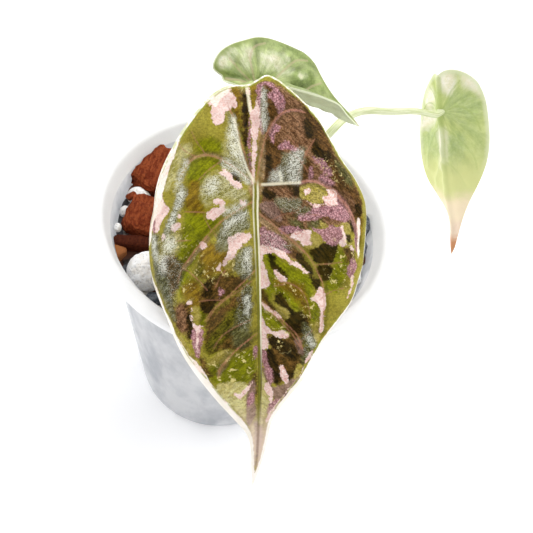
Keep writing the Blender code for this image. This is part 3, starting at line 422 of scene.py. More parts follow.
# The sectors of colour on the large leaf, in its flat coordinates.
frontSectors = {
    "bronze": (
        ((0.4, 26.5), (4.8, 26.7), (7.7, 24.9), (10.6, 23.4), (13, 20.9), (15.7, 17.9), (18, 15.5),
         (19.7, 11.9), (21.5, 8.6), (24.3, 5.3), (26.6, 2.3), (28.8, -0.8), (30, -4), (30, -6.7),
         (28.5, -8.9), (24.6, -10.1), (19.7, -10.5), (14.7, -10.6), (13.1, -11.9), (11.1, -13.5),
         (9.5, -15.5), (11.6, -17.6), (10.1, -19.4), (7.5, -17.6), (5.5, -16.4), (1.8, -16.4), (1, -11),
         (1.2, -4.9), (1.7, -1.3), (1.6, 9), (1.5, 16.8), (0.4, 21.1)),
        ((-21.2, -32.3), (-19.4, -30.8), (-17.6, -31.5), (-16.2, -33.5), (-15.9, -37.2), (-17.1, -38.4),
         (-19.4, -38.6), (-20.9, -36)),
    ),
    "fresh": (
        ((-18.3, 6.5), (-15.5, 6.8), (-12.4, 7.3), (-9.2, 6.2), (-8.7, 4.9), (-10.8, 3.7), (-12.3, 1.9),
         (-13.6, 0.1), (-14.4, -1.9), (-13.6, -4), (-12.7, -6.6), (-10.6, -8.1), (-9.1, -9.6), (-10.6, -11.2),
         (-12.2, -13.2), (-13.5, -15.8), (-14.3, -18.4), (-15.9, -20.5), (-17, -23.1), (-15.3, -24.6),
         (-17, -26.2), (-18.8, -28.9), (-20, -27.4), (-19.9, -22.1), (-20.5, -18), (-19.3, -13.3),
         (-18.2, -9.6), (-18.2, -6), (-17.7, -1.9), (-17.7, 1.8)),
        ((-15.3, 11), (-11.9, 11.9), (-8.8, 10.3), (-8.8, 8.3), (-12.4, 8), (-15.3, 8.4)),
        ((-14.2, -31.3), (-12.3, -33.3), (-12.9, -36), (-14.5, -36.1)),
        ((2.4, -17.4), (4.2, -16.9), (6, -17.9), (8.1, -19.6), (10.1, -20.9), (12.2, -21.9), (14.1, -23.2),
         (15.4, -25), (15.4, -27.1), (14.9, -28.9), (16.3, -30), (17.1, -31), (16.9, -34.7), (15, -35.2),
         (12.9, -34.1), (11.3, -32.2), (9.7, -32), (8.2, -29.9), (6.6, -28.1), (5.1, -27.9), (4.3, -29.5),
         (3.5, -31.1), (1.9, -29), (2.4, -26.4), (3.7, -25.4), (3.5, -22.8), (2.7, -20.2)),
        ((1.4, -31.1), (3.6, -32.4), (5.9, -34.1), (8.3, -36.1), (9.8, -38), (7.8, -38), (5.2, -37),
         (2.8, -35.5), (1.5, -33.7)),
        ((-12.6, -48.7), (-10.5, -46.4), (-7.3, -45.5), (-4.7, -43.9), (-2.2, -42.3), (-0.1, -42.4),
         (0.5, -45.9), (0.3, -49.4), (-1.1, -50.9), (-3.7, -51.1), (-6.3, -51.1), (-9.4, -51.8),
         (-11.6, -50.8)),
        ((-12.1, -43.3), (-12.6, -38.6), (-11, -36.4), (-7.4, -34.2), (-4.8, -31.1), (-4.3, -32.6),
         (-6.3, -36.3), (-4.8, -38.4), (-5.3, -42.1), (-8.4, -42.6), (-10.5, -43.8)),
        ((20, -17), (23, -16.2), (24.7, -19.7), (24, -23.4), (22.2, -27), (19.9, -27.5), (18.2, -25.8),
         (19.2, -23.3), (20.1, -20.7)),
    ),
    "brown": (
        ((-17.1, 0.7), (-14.4, 0.6), (-13.8, -1.4), (-13.8, -3.5), (-13, -5.5), (-13, -7.3), (-15.4, -7.3),
         (-17.6, -6.8), (-18.2, -5), (-17.7, -1.9)),
        ((-14.3, -15.8), (-11.1, -14.7), (-7.5, -16.7), (-4.9, -18.2), (-5.4, -21.3), (-7.9, -22.6),
         (-10.5, -23.4), (-13.2, -24), (-14.2, -22), (-14.3, -18.9)),
        ((-18.8, -25.8), (-15.3, -24.6), (-13.7, -27.1), (-14.2, -31.3), (-15.9, -32.2), (-17.6, -30.2),
         (-18.8, -28.4)),
        ((-6.7, 25.3), (-3.8, 25.5), (-4, 19.5), (-3.9, 13.1), (-4.7, 14.6), (-5.8, 17.2), (-6.4, 19.3)),
        ((28.5, -6.8), (30.4, -7.8), (30.6, -12.7), (29.2, -13.8), (28.5, -10.6)),
        ((-1.5, 26.7), (-0.1, 26.6), (-0.1, 22.2), (-1.1, 19.6), (-1.7, 22.3)),
        ((5.5, -23.8), (11.7, -25.3), (13.3, -28.4), (13.9, -34.1), (12.9, -34.6), (11.8, -30.9),
         (9.2, -27.8), (5.6, -25.3)),
        ((-4.2, 8.9), (-2.6, 6.4), (-1.2, 3.3), (-0.4, 0.8), (-1.5, 0.7), (-3.1, 3.8)),
    ),
    "dark": (
        ((12.2, 21.6), (14.1, 20.2), (16.5, 17.5), (18.3, 15.2), (19.4, 12.4), (20.3, 9.5), (22.4, 7),
         (24.6, 4.6), (26.6, 1.8), (28.8, -1.1), (30, -4), (30, -7.2), (28.9, -7.8), (27.7, -4.7),
         (25.9, -2.1), (23.3, -1.5), (21.4, -0), (19.6, 2.5), (18.2, 4.5), (16.2, 6.5), (14.3, 8.5),
         (14.3, 11.1), (13, 12.1), (12.2, 14.6), (12.7, 17.6)),
        ((-4.1, 25.5), (-2.8, 25.3), (-2.2, 21.2), (-1.8, 19.1), (-1.7, 15.6), (-1.8, 11.6), (-2.3, 8.5),
         (-3.1, 8.9), (-3.7, 12.8), (-4, 18.9)),
        ((2.2, 25.6), (4, 25.9), (4.6, 24.5), (3.5, 23.5), (4.1, 21.8), (5.6, 21.3), (5.9, 19.7), (5.1, 18.1),
         (3.6, 16.5), (2.8, 16), (2.3, 18.9), (2.5, 22.1)),
        ((2.1, 11.3), (4.9, 11.8), (7, 9), (6.5, 5.9), (5, 3.5), (3.2, 1.3), (2.2, 0.8), (1.9, 6.4)),
        ((11.9, 6.2), (13, 7.6), (14, 6.6), (13.5, 3.5), (13, 1.4), (11.7, 1.1)),
        ((-13.2, -25.6), (-12.1, -24.2), (-9.5, -23.4), (-7.4, -22.1), (-4.4, -23.1), (-1.8, -23.9),
         (-3.6, -26.2), (-6.4, -28.3), (-8.9, -30.1), (-10.8, -32), (-12.6, -33.6), (-14, -32.1),
         (-14.2, -29.2), (-14, -27.1)),
        ((-12.3, -34.4), (-10.5, -32.7), (-7.4, -30.1), (-4.3, -28), (-1.8, -26.4), (-1, -28.5),
         (-1.2, -32.7), (-2.7, -35.8), (-3.7, -38.9), (-1.1, -40), (-0.6, -41.3), (-3.2, -42.6),
         (-5.8, -42.6), (-8.9, -42.9), (-11.5, -43.6), (-12.6, -41.2), (-12.6, -37.5)),
        ((-23, -18), (-20.5, -18.7), (-19.3, -21.1), (-19.9, -24.8), (-21.2, -28), (-21.5, -31.2),
         (-20.6, -34.4), (-20.6, -37.1), (-22.5, -34), (-24.5, -30.4), (-26.6, -26.2), (-27.3, -22.5),
         (-25.4, -20.2)),
        ((-18.2, -30.7), (-16.2, -31.7), (-15.6, -35.6), (-15.6, -38.2), (-17.1, -41), (-17.6, -37.9),
         (-17.3, -34.1)),
        ((-14.3, -44.8), (-12.6, -45.2), (-11.8, -48.1), (-11, -50.2), (-12.6, -49.5), (-13.7, -47.5)),
        ((11.5, -2.8), (12.5, -4.3), (14.4, -5.8), (14.7, -6.8), (13.1, -5.5), (11.8, -4.5)),
        ((8.2, -6.6), (11.5, -6.8), (13.9, -6.8), (13.6, -7.8), (10, -8.1), (8.2, -7.7)),
        ((6.5, -14), (8.5, -15), (10.8, -16.3), (11.9, -18.1), (9.8, -18.6), (7.5, -16.8)),
        ((23.4, -16.2), (25.3, -15.7), (27, -17.6), (26.7, -19.7), (25, -20.7), (23.7, -18.9)),
        ((1.4, -25.4), (2.7, -27.2), (3.8, -29.5), (5.1, -31), (6.2, -32.8), (7.7, -34.3), (6.7, -34.6),
         (4.1, -32.1), (2.2, -30.3), (1.4, -28.5)),
        ((3.1, -38.4), (5.7, -38), (8, -38.8), (9.8, -38.2), (11.7, -39.8), (13.5, -42), (14.1, -44.6),
         (12.6, -47.3), (10.5, -49.6), (8.5, -50.7), (5.9, -51.6), (4.5, -50.1), (3.7, -46.9), (2.9, -44.2),
         (2.9, -42.6), (4.4, -41.8), (3.4, -40.2)),
        ((-0.5, -49.9), (0.8, -48.6), (0.8, -52.9), (0.6, -56.2), (-0.2, -53.4)),
        ((9.8, -38.8), (8.3, -36.1), (9.3, -35.1), (11.9, -35.1), (13.4, -33), (14.2, -35.1), (13.5, -38.3),
         (11.9, -39.8)),
    ),
    "moss": (
        ((-4.3, -30.6), (-3.3, -32.1), (-5.3, -36.3), (-7.3, -39.4), (-9.7, -42.7), (-12.1, -43.3),
         (-12.1, -40.7), (-10.5, -38), (-8.4, -34.8), (-6.3, -32.1)),
        ((-14.8, -19.9), (-12.6, -20.9), (-13.7, -23.5), (-15.3, -24.1)),
    ),
    "black": (
        ((3.6, -38.9), (6.2, -38.8), (8.8, -40.3), (11.5, -42.4), (11, -45.1), (8.9, -44.6), (6.8, -42.5),
         (4.7, -41.5)),
        ((12.4, 17.1), (13.8, 17.5), (14.6, 15.1), (14.3, 12.7), (13, 11.5), (12.2, 13.3)),
        ((14.3, 11.4), (15.7, 11.2), (17.1, 9.5), (19.4, 9.1), (19.3, 7.3), (17.3, 6.6), (15.1, 7.5),
         (14.3, 9.2)),
        ((-3.6, 24.4), (-2.8, 23.9), (-2.2, 20.1), (-2, 16.4), (-2.1, 12.1), (-2.6, 10), (-3.2, 12.6),
         (-3.5, 17.9)),
        ((2.1, 7.2), (3.9, 7.7), (4.7, 5.9), (4, 3.6), (2.4, 4.1)),
        ((1.4, -1.5), (3.2, -1), (5.3, -2.3), (4.8, -3.9), (2.8, -3.6), (1.7, -2.6)),
        ((8.1, -0), (10.9, -0.2), (12.5, -2.2), (11.7, -3.3), (9.9, -2.8), (8.9, -1.3)),
        ((14, -16), (16.4, -15), (18.6, -14.4), (21.2, -15.2), (20.9, -17), (20.1, -19.9), (17.5, -20.1),
         (15.3, -19.6), (14.5, -18.1)),
        ((16.2, -20.4), (19.8, -20.4), (20.1, -22.2), (19, -24.6), (17, -23.5)),
        ((10.3, -18.3), (12.2, -17.6), (13.5, -19.6), (14.8, -21.2), (15.1, -23.2), (16.8, -24.3),
         (16.8, -26.3), (15.7, -27.1), (14.3, -24.2), (13, -21.7), (11.4, -20.1)),
        ((3.7, -17.4), (5.7, -17.9), (5.7, -18.9), (5, -19.4), (6, -20.4), (7.6, -21.7), (8.6, -23.2),
         (8.1, -24.3), (6.8, -23), (5.5, -22), (4.2, -20.7), (3.7, -19.2)),
        ((5.3, -27.9), (7.1, -27.6), (8.4, -29.4), (9.7, -31.2), (10.8, -32.5), (12.1, -32.2), (13.7, -33.6),
         (13.4, -35.9), (12.2, -38), (10.3, -37.7), (8.8, -36.1), (7.7, -34.6), (9, -33.8), (7.9, -32),
         (6.4, -31), (5.3, -29.5)),
        ((25.6, -8.8), (27.7, -9.2), (28.1, -11.7), (26.3, -11.4)),
        ((23.3, -12.8), (25.3, -12.3), (26.3, -13.8), (24.6, -14.6)),
        ((2.6, -42.7), (4.7, -42.3), (6, -44.1), (6.6, -46.7), (7.1, -49.9), (5.6, -51.4), (4.5, -48.7),
         (3.4, -45.8)),
        ((8.9, -47.2), (10.5, -47.8), (10, -49.9), (8.5, -50.5), (8.2, -48.6)),
        ((-12.9, -25.5), (-11, -24.7), (-10.5, -27), (-12.1, -29.1), (-13.2, -28.7)),
        ((-13.4, -30.2), (-10.5, -29.6), (-10.5, -31.2), (-12.3, -33.1), (-13.7, -31.8)),
        ((-17.3, -33.6), (-16.2, -33.5), (-15.9, -37.7), (-16.8, -40.5), (-17.3, -37.3)),
        ((-6.9, 2.6), (-5.1, 3.2), (-4.1, 1.9), (-3.8, 0.4), (-5.3, 0.6), (-6.4, 1.4)),
        ((27, -4.7), (28.8, -4), (30, -6.2), (29.2, -7.6), (28.1, -6.5)),
    ),
    # sage: partly a pale leaf tone, partly painted sheen
    "sageSheen": (
        ((-12.8, 1.1), (-10.7, 2.6), (-8.2, 2.9), (-6.4, 0.9), (-4.3, -0.9), (-2.2, -1.6), (-2.2, -3.4),
         (-4.5, -4.5), (-7.1, -3.7), (-10.2, -4.3), (-12.2, -5.5), (-13.6, -3.7), (-13.8, -1.4)),
        ((-7.4, 18.8), (-6.1, 17.8), (-5, 14.6), (-4.4, 11), (-3.6, 6.8), (-2, 3.8), (-1, 1.3), (-1.7, -0.3),
         (-3.6, 2), (-5.6, 5), (-8, 6.7), (-8.3, 9.8), (-7.3, 14)),
        ((-20.6, 10.3), (-17.2, 10), (-17.7, 6.4), (-20.6, 2.4), (-23.1, -1.1), (-24, -0), (-22.4, 5.2)),
        ((-4.4, 26.5), (-2.8, 26.7), (-3.3, 25), (-4.4, 25.2)),
        ((-23, -12.2), (-19.3, -13.3), (-19.9, -16.9), (-22.4, -18), (-24.4, -17), (-24.3, -14.3)),
    ),
    # silver: partly silvery variegation, partly painted reflection
    "silverSheen": (
        ((7.3, 7.7), (10.4, 9), (12.4, 9.4), (12.5, 6.5), (11.7, 3.9), (11.4, 0.6), (7.6, 0.2), (2.7, 0.7),
         (5, 3.3), (6.5, 5.3)),
        ((-8.8, -10.4), (-6.5, -8.3), (-4.5, -7), (-2.2, -6.7), (-1.6, -9), (-1.6, -11.1), (-3.7, -12.4),
         (-6, -14.2), (-6.5, -16.7), (-9.5, -17.3), (-10.1, -14.7)),
        ((5.8, -3.3), (8.4, -3.8), (11, -3.5), (11.8, -5.3), (9.4, -6.4), (6.4, -6.1), (5.3, -4.9)),
        ((12.3, -5.3), (14.4, -6.3), (15, -7.5), (13.1, -8.1), (10.7, -7.6)),
        ((0.9, 25.4), (2.5, 24.8), (2.8, 19.4), (3.1, 15.7), (2.3, 13.4), (1.3, 14.7), (1, 20)),
        ((-29.1, -13.3), (-26.4, -12.7), (-26.1, -17), (-26.5, -21.3), (-24.4, -25), (-22.5, -30.2),
         (-20.6, -34.9), (-21.9, -35.6), (-24.5, -31.5), (-27.4, -26.3), (-28.8, -20.9)),
        ((-19.7, 0.3), (-18, -1.3), (-17.9, -3.9), (-19.6, -6.2), (-20.2, -9.3), (-22.1, -12.5),
         (-24.3, -13.8), (-23.6, -10.6), (-21.7, -7), (-20.6, -3.9), (-20, -1.8)),
        ((-5.9, -19.8), (-3.9, -16.7), (-1.3, -15.4), (-1, -19.8), (-1, -23.6), (-2.8, -24.1), (-4.4, -22.6),
         (-5.6, -21.8)),
    ),
    "slate": (
        ((-2.8, -26.2), (-1, -24.9), (-0.7, -29.6), (-0.9, -34.2), (-1.7, -37.4), (-3.7, -37.3),
         (-4.8, -34.7), (-3.5, -30.6)),
        ((-5.8, -36.3), (-1.2, -36.8), (-0.6, -40), (-2.7, -42.3), (-5.3, -41.5)),
        ((12.7, -35.6), (14.5, -36.7), (16.2, -39.1), (16.2, -41.5), (15.2, -43.6), (13.9, -45.7),
         (12.3, -47.2), (12.5, -43.5), (13.6, -42.5), (12.7, -39.8)),
        ((-3.6, 8.9), (-2.1, 8), (-1, 4.4), (-1, 1.3), (-2.5, 3.8)),
        ((-28, -20.3), (-25.1, -21.3), (-23.1, -26), (-21.8, -31.3), (-23.1, -30.8), (-25.9, -26.7)),
        ((13.1, -9.9), (15.2, -8.3), (17.4, -8.8), (16.3, -10.9), (14.2, -11.4)),
        ((8.4, -8.2), (11.5, -9.4), (12.6, -11.9), (10.5, -12)),
        ((21.4, 7.2), (24.6, 4.8), (26.6, 1.8), (25.9, 0.1), (22.6, 3), (20.8, 5.5)),
    ),
    # glint foil: patches of painted glints, pale strokes for sparkling reflections, over darker flecks
    "glintFoil": (
        ((-28.7, -13.8), (-23, -13.3), (-20.5, -14.3), (-20.8, -18), (-19, -20), (-19.3, -23.7),
         (-20.6, -27.4), (-20.6, -31.2), (-22.5, -31.3), (-25.2, -27.7), (-28, -20.9)),
        ((-8.6, -10.1), (-6, -8.1), (-2.4, -6.7), (-1.6, -10.5), (-4.9, -13.6), (-8.5, -15.7),
         (-9.5, -14.2)),
        ((-4.9, -18.2), (-1.3, -16.2), (-1, -23.4), (-2.8, -23.9), (-4.4, -22.3)),
        ((-3.6, -27), (-1, -25.9), (-0.7, -33.7), (-2.2, -37.3), (-4.3, -35.2)),
        ((12.9, -36.2), (14.8, -37.2), (16.2, -39.9), (15.2, -43.6), (13.3, -44.1)),
        ((7.8, 7.4), (11.9, 8.8), (11.7, 4.4), (11.2, 0.8), (7.3, 0.7), (6.3, 3.3)),
        ((5.8, -3.6), (11, -3.8), (12.6, -6.3), (14.7, -7.3), (11.5, -7.9), (6.4, -5.9)),
        ((-20.6, -0.2), (-18, -1.3), (-18.2, -4.4), (-19.9, -7), (-21.1, -11.2), (-23.7, -13.3),
         (-23.6, -10.1), (-21.1, -4.9)),
        ((-12.8, 1.1), (-8.2, 2.6), (-6.1, 0.1), (-2.5, -1.9), (-4, -3.9), (-9.1, -3.5), (-12.8, -4.5),
         (-13.6, -1.9)),
        ((1.2, 24.3), (2.5, 24.3), (2.8, 15.7), (2.1, 13.9), (1.3, 19)),
        ((-6.8, 17.7), (-5.3, 16.7), (-4.2, 9.9), (-2, 3.3), (-1.5, 0.7), (-4.6, 4.2), (-7.2, 6.7),
         (-7.8, 11.4)),
        ((2.3, -11.5), (6.5, -13.5), (9.6, -16.1), (6.5, -16.6), (2.4, -15.6)),
    ),
    "taupe": (
        ((2.1, -47.2), (3.7, -47.7), (5, -49.5), (5.1, -52.2), (8.2, -51), (11.3, -49.4), (12.4, -50.5),
         (11.4, -52.6), (9.6, -54.5), (7.5, -56.2), (5.4, -56), (4.8, -53.8), (3.8, -51.5), (2.7, -49.6)),
        ((-2.1, -52.5), (-0.5, -50.4), (0.5, -51.8), (0.3, -55.1), (0.6, -59.5), (-0.4, -62.3), (-1.5, -63.9),
         (-2, -61.6), (-2.3, -57.2)),
        ((10.6, -40.1), (11.7, -39), (12.7, -41.4), (13, -43.8), (11.7, -43.2), (10.9, -41.4)),
        ((-0.4, -64.5), (0.6, -62.3), (2, -63.5), (2.3, -67.4), (1.5, -72.1), (0.7, -75.7), (0.1, -70.3)),
        ((1.2, -4.9), (4.3, -4.4), (6.4, -6.9), (6.9, -9.5), (3.8, -8.5), (1.2, -6.4)),
    ),
    "tan": (
        ((0.2, 15.8), (1.6, 14.5), (2.4, 11.6), (2.4, 6.4), (2.2, 1.3), (0.6, 0.5), (0.6, 6.4),
         (0.3, 11.6)),
        ((1, -6.9), (2.8, -8.7), (4.9, -10), (6.9, -11.5), (9.3, -13), (11.3, -14.5), (13.2, -16.3),
         (12.4, -17.3), (10.1, -15.8), (8, -14.3), (5.9, -12.8), (3.3, -11), (1, -9.5)),
        ((-1.5, 0.2), (0.1, 1.3), (1.7, 0.2), (1.7, -1.8), (0.9, -3.9), (0.7, -6.4), (-0.9, -5.9),
         (-1.2, -2.9), (-2, -1.3)),
        ((-12.7, -13.2), (-14.3, -15.3), (-16.5, -17.9), (-18.5, -20), (-19.3, -21.6), (-18.5, -22.1),
         (-16.2, -19.4), (-13.5, -16.3), (-11.6, -14.2)),
        ((-6.8, -44.5), (-6, -44.2), (-7.1, -46.9), (-8.4, -48.8), (-9.2, -50.7), (-9.7, -48.8),
         (-8.6, -46.4)),
        ((-18.9, 6), (-17.2, 7.2), (-14.5, 7.8), (-11.3, 8), (-8.7, 7), (-9.2, 6.5), (-11.8, 7.3), (-15, 6.8),
         (-17.7, 5.6)),
    ),
    "khaki": (
        ((11.5, -0.5), (13, 0.6), (15.4, 1), (17.3, 0.5), (19, -0.9), (19.1, -2.5), (17.4, -3.3),
         (17.7, -4.6), (15.2, -5), (13.1, -4), (11.7, -3.3), (11.5, -2)),
        ((16.3, -8.8), (17.7, -9.8), (18.8, -10.8), (17.7, -11.3), (16.6, -10.3)),
        ((22.1, -9.7), (24.6, -9.3), (26, -10.9), (25.3, -12.3), (23.3, -12), (22.4, -11.3)),
        ((13.9, -12.2), (15.5, -12.2), (17.2, -13.9), (16.1, -15.7), (14.2, -15.2), (13.9, -13.5)),
        ((-16.2, -31.9), (-14.2, -31.8), (-14.2, -35.8), (-15.9, -35.9)),
        ((-11.5, -46.2), (-9.7, -43.5), (-6.8, -42.3), (-5.3, -42.8), (-6, -44.2), (-7.8, -45.8),
         (-9.9, -46.4)),
        ((-7.7, -19.8), (-5.9, -18.5), (-5.1, -19.8), (-6.2, -21.6), (-7.7, -21.8)),
        ((5.6, -31), (7.7, -31.2), (9, -32.5), (8.5, -34.3), (6.9, -33.8), (5.9, -32.5)),
        ((-20.6, -37.6), (-19.1, -39.6), (-17.4, -42.1), (-15.7, -44.1), (-14.3, -45.9), (-14.8, -47.3),
         (-16.8, -45.3), (-19.1, -42.9), (-20.7, -40.3)),
        ((12.1, -15), (13.7, -14), (15.3, -15.5), (13.7, -16.5), (12.4, -16.3)),
        ((16.1, -34.7), (18.1, -36.8), (16.7, -40.5), (15.3, -38.3)),
        ((11, -46.7), (12.6, -46.2), (12.1, -48.9), (10.5, -49.9)),
    ),
    "khakiTip": (
        ((-9.7, -52.1), (-6.3, -51.1), (-2.9, -50.9), (-1.6, -52.5), (-2.1, -56.1), (-2.1, -58.8),
         (-2.3, -61.1), (-4.7, -58.8), (-6.8, -56.6), (-8.6, -54.5)),
        ((1.6, -50.2), (2.1, -48.3), (2.9, -50.7), (4, -53.3), (4.6, -56), (3.8, -59.1), (2.5, -61.2),
         (2, -64), (1.4, -61.8), (1.7, -56.2)),
        ((-0.7, -64.5), (0.1, -63.4), (0.4, -67.5), (0.7, -72.1), (-0.1, -70.9)),
    ),
    "mauve": (
        ((1.4, 26.8), (3.5, 27), (5.1, 25.3), (5.9, 24.3), (7.2, 22.9), (7.2, 21.1), (7.4, 19.5), (5.9, 18.6),
         (5.1, 20.5), (4.3, 21.6), (3.3, 22.4), (3, 23.5), (4.1, 24), (4.3, 24.8), (3, 25.6)),
        ((0.1, 26.3), (1.4, 26.5), (1.5, 24.3), (1.2, 20), (1.5, 16.3), (2.1, 13.1), (1.3, 13.7), (0.5, 16.9),
         (0.2, 21.1)),
        ((3.6, 14.7), (4.9, 15.7), (6.2, 14.9), (5.7, 13.6), (4.7, 13.1), (4.7, 10.8), (3.9, 11.3),
         (3.4, 13.1)),
        ((6, 10.2), (7.5, 11), (9.3, 10), (11.1, 8.8), (10.1, 8.3), (8, 9), (6.2, 9.2)),
        ((14.3, 7.4), (16.2, 7), (18.2, 5.8), (19.6, 4.4), (19.9, 2.8), (18.2, 3.2), (16.8, 4.4),
         (15.1, 5.6)),
        ((16.8, 2.6), (19, 2.2), (20.5, 1.3), (20.8, -0), (18.7, 0.4), (16.8, 1.3)),
        ((13.8, 4.5), (14.9, 3.8), (15.1, 2), (13.8, 1.7)),
        ((16.3, -5.2), (19.1, -4.8), (21.4, -5), (21.4, -3.2), (21.7, -2.1), (23.3, -2.8), (24.6, -3.8),
         (25.9, -5.3), (26.6, -6.9), (25.3, -8.5), (22.7, -9.1), (20.3, -8.7), (18.3, -8), (16.6, -7.2),
         (14.9, -6.5), (15.5, -5.7)),
        ((11, -8.1), (13.1, -7.1), (14.7, -5.8), (16.3, -5.7), (17.4, -7.2), (15.8, -8.8), (13.6, -9.1),
         (11.5, -9.1)),
        ((14.2, -10.6), (16.9, -11.1), (19.1, -10.3), (22.1, -10.5), (23, -12), (22.4, -14.1), (20.6, -15.2),
         (18.6, -15.2), (17.2, -13.9), (16.6, -12.7), (15, -11.9)),
        ((5.9, -11), (8.5, -10.5), (10.3, -10.7), (12.6, -11.9), (11.1, -12.7), (9, -12.5), (7.2, -12.3)),
        ((1.3, -11), (3.4, -11.5), (5.9, -13), (8.5, -15), (7, -15.6), (9.1, -17.1), (7.5, -17.6),
         (5.5, -16.6), (3.4, -15.9), (1.3, -16.1)),
        ((25.3, -18.6), (27.4, -19.2), (27.7, -21.1), (26.7, -22.9), (25.7, -24), (24.4, -22.3), (24, -20.5),
         (25, -20)),
        ((-16, -37.3), (-14.8, -36.9), (-13.4, -37.2), (-12.9, -38.1), (-13.2, -40.5), (-13.6, -42.1),
         (-14.1, -44), (-14.8, -44.9), (-15.2, -43.5), (-15.8, -41.5), (-16.2, -39.6)),
        ((1.5, -41.4), (3.1, -42.6), (3.1, -44.2), (3.7, -45.8), (4.8, -47.9), (5.3, -50.6), (4.3, -52.2),
         (3.7, -49.8), (2.4, -47.2), (1.5, -44.3)),
        ((4.3, -56.3), (6.7, -55.7), (8.8, -55.1), (6.7, -57.6), (5.2, -59.6), (3.6, -61.1), (3.8, -58.9)),
        ((-1.9, 17.5), (-1.2, 15.3), (-1.3, 9), (-0.7, 1.8), (-1.6, 5.1), (-2.1, 9.5), (-2, 13.7)),
        ((-9.2, -26.5), (-7.9, -26.7), (-8.2, -28.3), (-9.2, -28.8)),
        ((-4.9, -13.4), (-1.9, -13.4), (-3.1, -15.4), (-4.9, -16.2)),
        ((-1, -53.7), (0, -54.3), (0, -56.5), (-1.5, -58), (-1.6, -55.6)),
        ((-0.1, -41.6), (0.7, -41.6), (0.5, -44.8), (-0.3, -44.3)),
        ((27.7, -9), (28.8, -11.1), (29.2, -14.9), (28.1, -17), (27.4, -13.3)),
        ((-28.6, -9.5), (-27.1, -8.4), (-26.4, -10.6), (-27.5, -12.7), (-28.6, -11.6)),
    ),
    "rose": (
        ((11.4, 1), (14.6, 1.6), (17.3, 1.3), (19.9, -0.1), (22.3, -1.5), (24.6, -3.5), (26.3, -5.8),
         (27.5, -7.9), (28.5, -11.6), (27.7, -11.7), (26.3, -8.5), (24.6, -5.9), (22.6, -3.4), (20.5, -1.6),
         (18.5, -0.2), (16.2, 0.6), (13.5, 0.6), (11.5, 0.2)),
        ((5.7, 17.8), (7.2, 19.2), (9.3, 19.9), (11.4, 19.9), (12.7, 19.2), (11.4, 19.3), (9.3, 19.3),
         (7.2, 18.5), (5.9, 17.3), (4.6, 15.5), (3.6, 13.1), (3.1, 13.1), (4.1, 15.7)),
    ),
    "pink": (
        ((-13.1, 23.1), (-11.1, 26.8), (-7.2, 26.4), (-6.7, 24.2), (-6.4, 22), (-6.6, 19.3), (-8.1, 18.8),
         (-8.4, 17.2), (-9.4, 15), (-10.9, 15.3), (-11.7, 17.2), (-11.5, 19.8), (-12.8, 20.9)),
        ((-6.7, 24.5), (-5.9, 22.9), (-5.1, 21), (-5.3, 19.7), (-6.4, 20.7)),
        ((-1.7, 19.3), (-0.3, 20.4), (0, 22.5), (1, 19), (0.8, 15.8), (0.3, 11.6), (0.2, 8.5), (-0.2, 3.9),
         (-0.2, 0.5), (-1, 0.5), (-1.1, 5.1), (-1, 9), (-1.1, 13), (-1.4, 16.4)),
        ((-2.8, 26.9), (-2, 26.1), (-1.4, 22.3), (-1.1, 19.1), (-1.6, 19.1), (-2.1, 22.3)),
        ((-9.2, 3.1), (-7.7, 3.9), (-6.4, 2.4), (-5.3, 0.9), (-3.8, 0.2), (-3.3, -0.9), (-4.8, -1.1),
         (-6.4, -0.2), (-7.6, 1.6), (-8.9, 2.4)),
        ((-10.4, -3.8), (-8.6, -4), (-7.8, -5), (-9.4, -5.5), (-10.7, -5)),
        ((-4, -3.9), (-2.5, -4.4), (-2.7, -5.4), (-4, -5.2)),
        ((-12.7, -7.3), (-11.7, -6.6), (-10.1, -6.1), (-8.3, -5.8), (-7.3, -6.8), (-8.6, -7.6), (-9.6, -8.6),
         (-11.1, -9.1), (-12.5, -8.6)),
        ((-26.1, -1.5), (-24.7, -2.4), (-24.2, -4), (-23.8, -5.6), (-22.5, -6.3), (-22.8, -7.3),
         (-24.3, -8.5), (-25.2, -10.3), (-26.2, -12.2), (-27.5, -12.2), (-27.3, -9.5), (-26.7, -6.3)),
        ((-22.2, -11.4), (-21, -10.3), (-19.2, -9.7), (-18.7, -10.4), (-19.8, -11.6), (-21.1, -11.9)),
        ((-19.9, -7.9), (-18.9, -7.7), (-18.9, -8.5), (-19.6, -8.8)),
        ((-24.7, -12.9), (-23.7, -13.1), (-23.2, -13.9), (-24.2, -14.2), (-24.8, -14.9)),
        ((-7, -13.4), (-3.9, -12.4), (-1.1, -12.6), (-1.9, -14.6), (-3.9, -15.9), (-4.9, -18), (-6.2, -19),
         (-7.2, -20.1), (-8.2, -21.1), (-7.5, -18.3), (-6.5, -16.2)),
        ((-14.5, -15), (-13.5, -14.5), (-12.1, -15.8), (-13.7, -16.6)),
        ((-17.3, -30), (-16.5, -29.8), (-15.9, -30.2), (-16.6, -30.8), (-17.3, -31.1)),
        ((-16.5, -32.2), (-15.9, -32.4), (-15.8, -35.9), (-13.4, -36.5), (-14.2, -37.9), (-14.4, -42.9),
         (-14.7, -43), (-14.9, -37.9), (-15.9, -36.9)),
        ((18.5, -0.7), (20.5, -0.9), (22, -2.3), (21.7, -4.5), (19.7, -5.1), (17.9, -4.9), (16.3, -5.4),
         (14.7, -5.5), (12.3, -3.5), (13.1, -4), (15.2, -5), (17.4, -4.4), (17.4, -3.1), (18.8, -2.2)),
        ((12.5, -1.5), (13.6, -0.7), (14.1, -1.7), (13, -2.5)),
        ((8.7, -13), (10, -12), (12.3, -11.7), (14.5, -11.7), (13.9, -13.5), (14.5, -15), (12.6, -15.5),
         (11.1, -14.3), (9.5, -13.8)),
        ((22.2, -10.5), (23, -10.4), (23.3, -11.8), (24, -13.3), (23.8, -14.7), (25, -15.2), (26, -15.2),
         (26.8, -16.2), (26.5, -16.9), (25.3, -16.1), (24, -15.4), (22.7, -15.6), (21.7, -14.7), (21.9, -14),
         (22.7, -13.6), (22.5, -12)),
        ((1, -16.4), (3.4, -15.6), (5.5, -16.1), (7.5, -17.2), (8.8, -18.4), (10.6, -19.6), (12.2, -20.8),
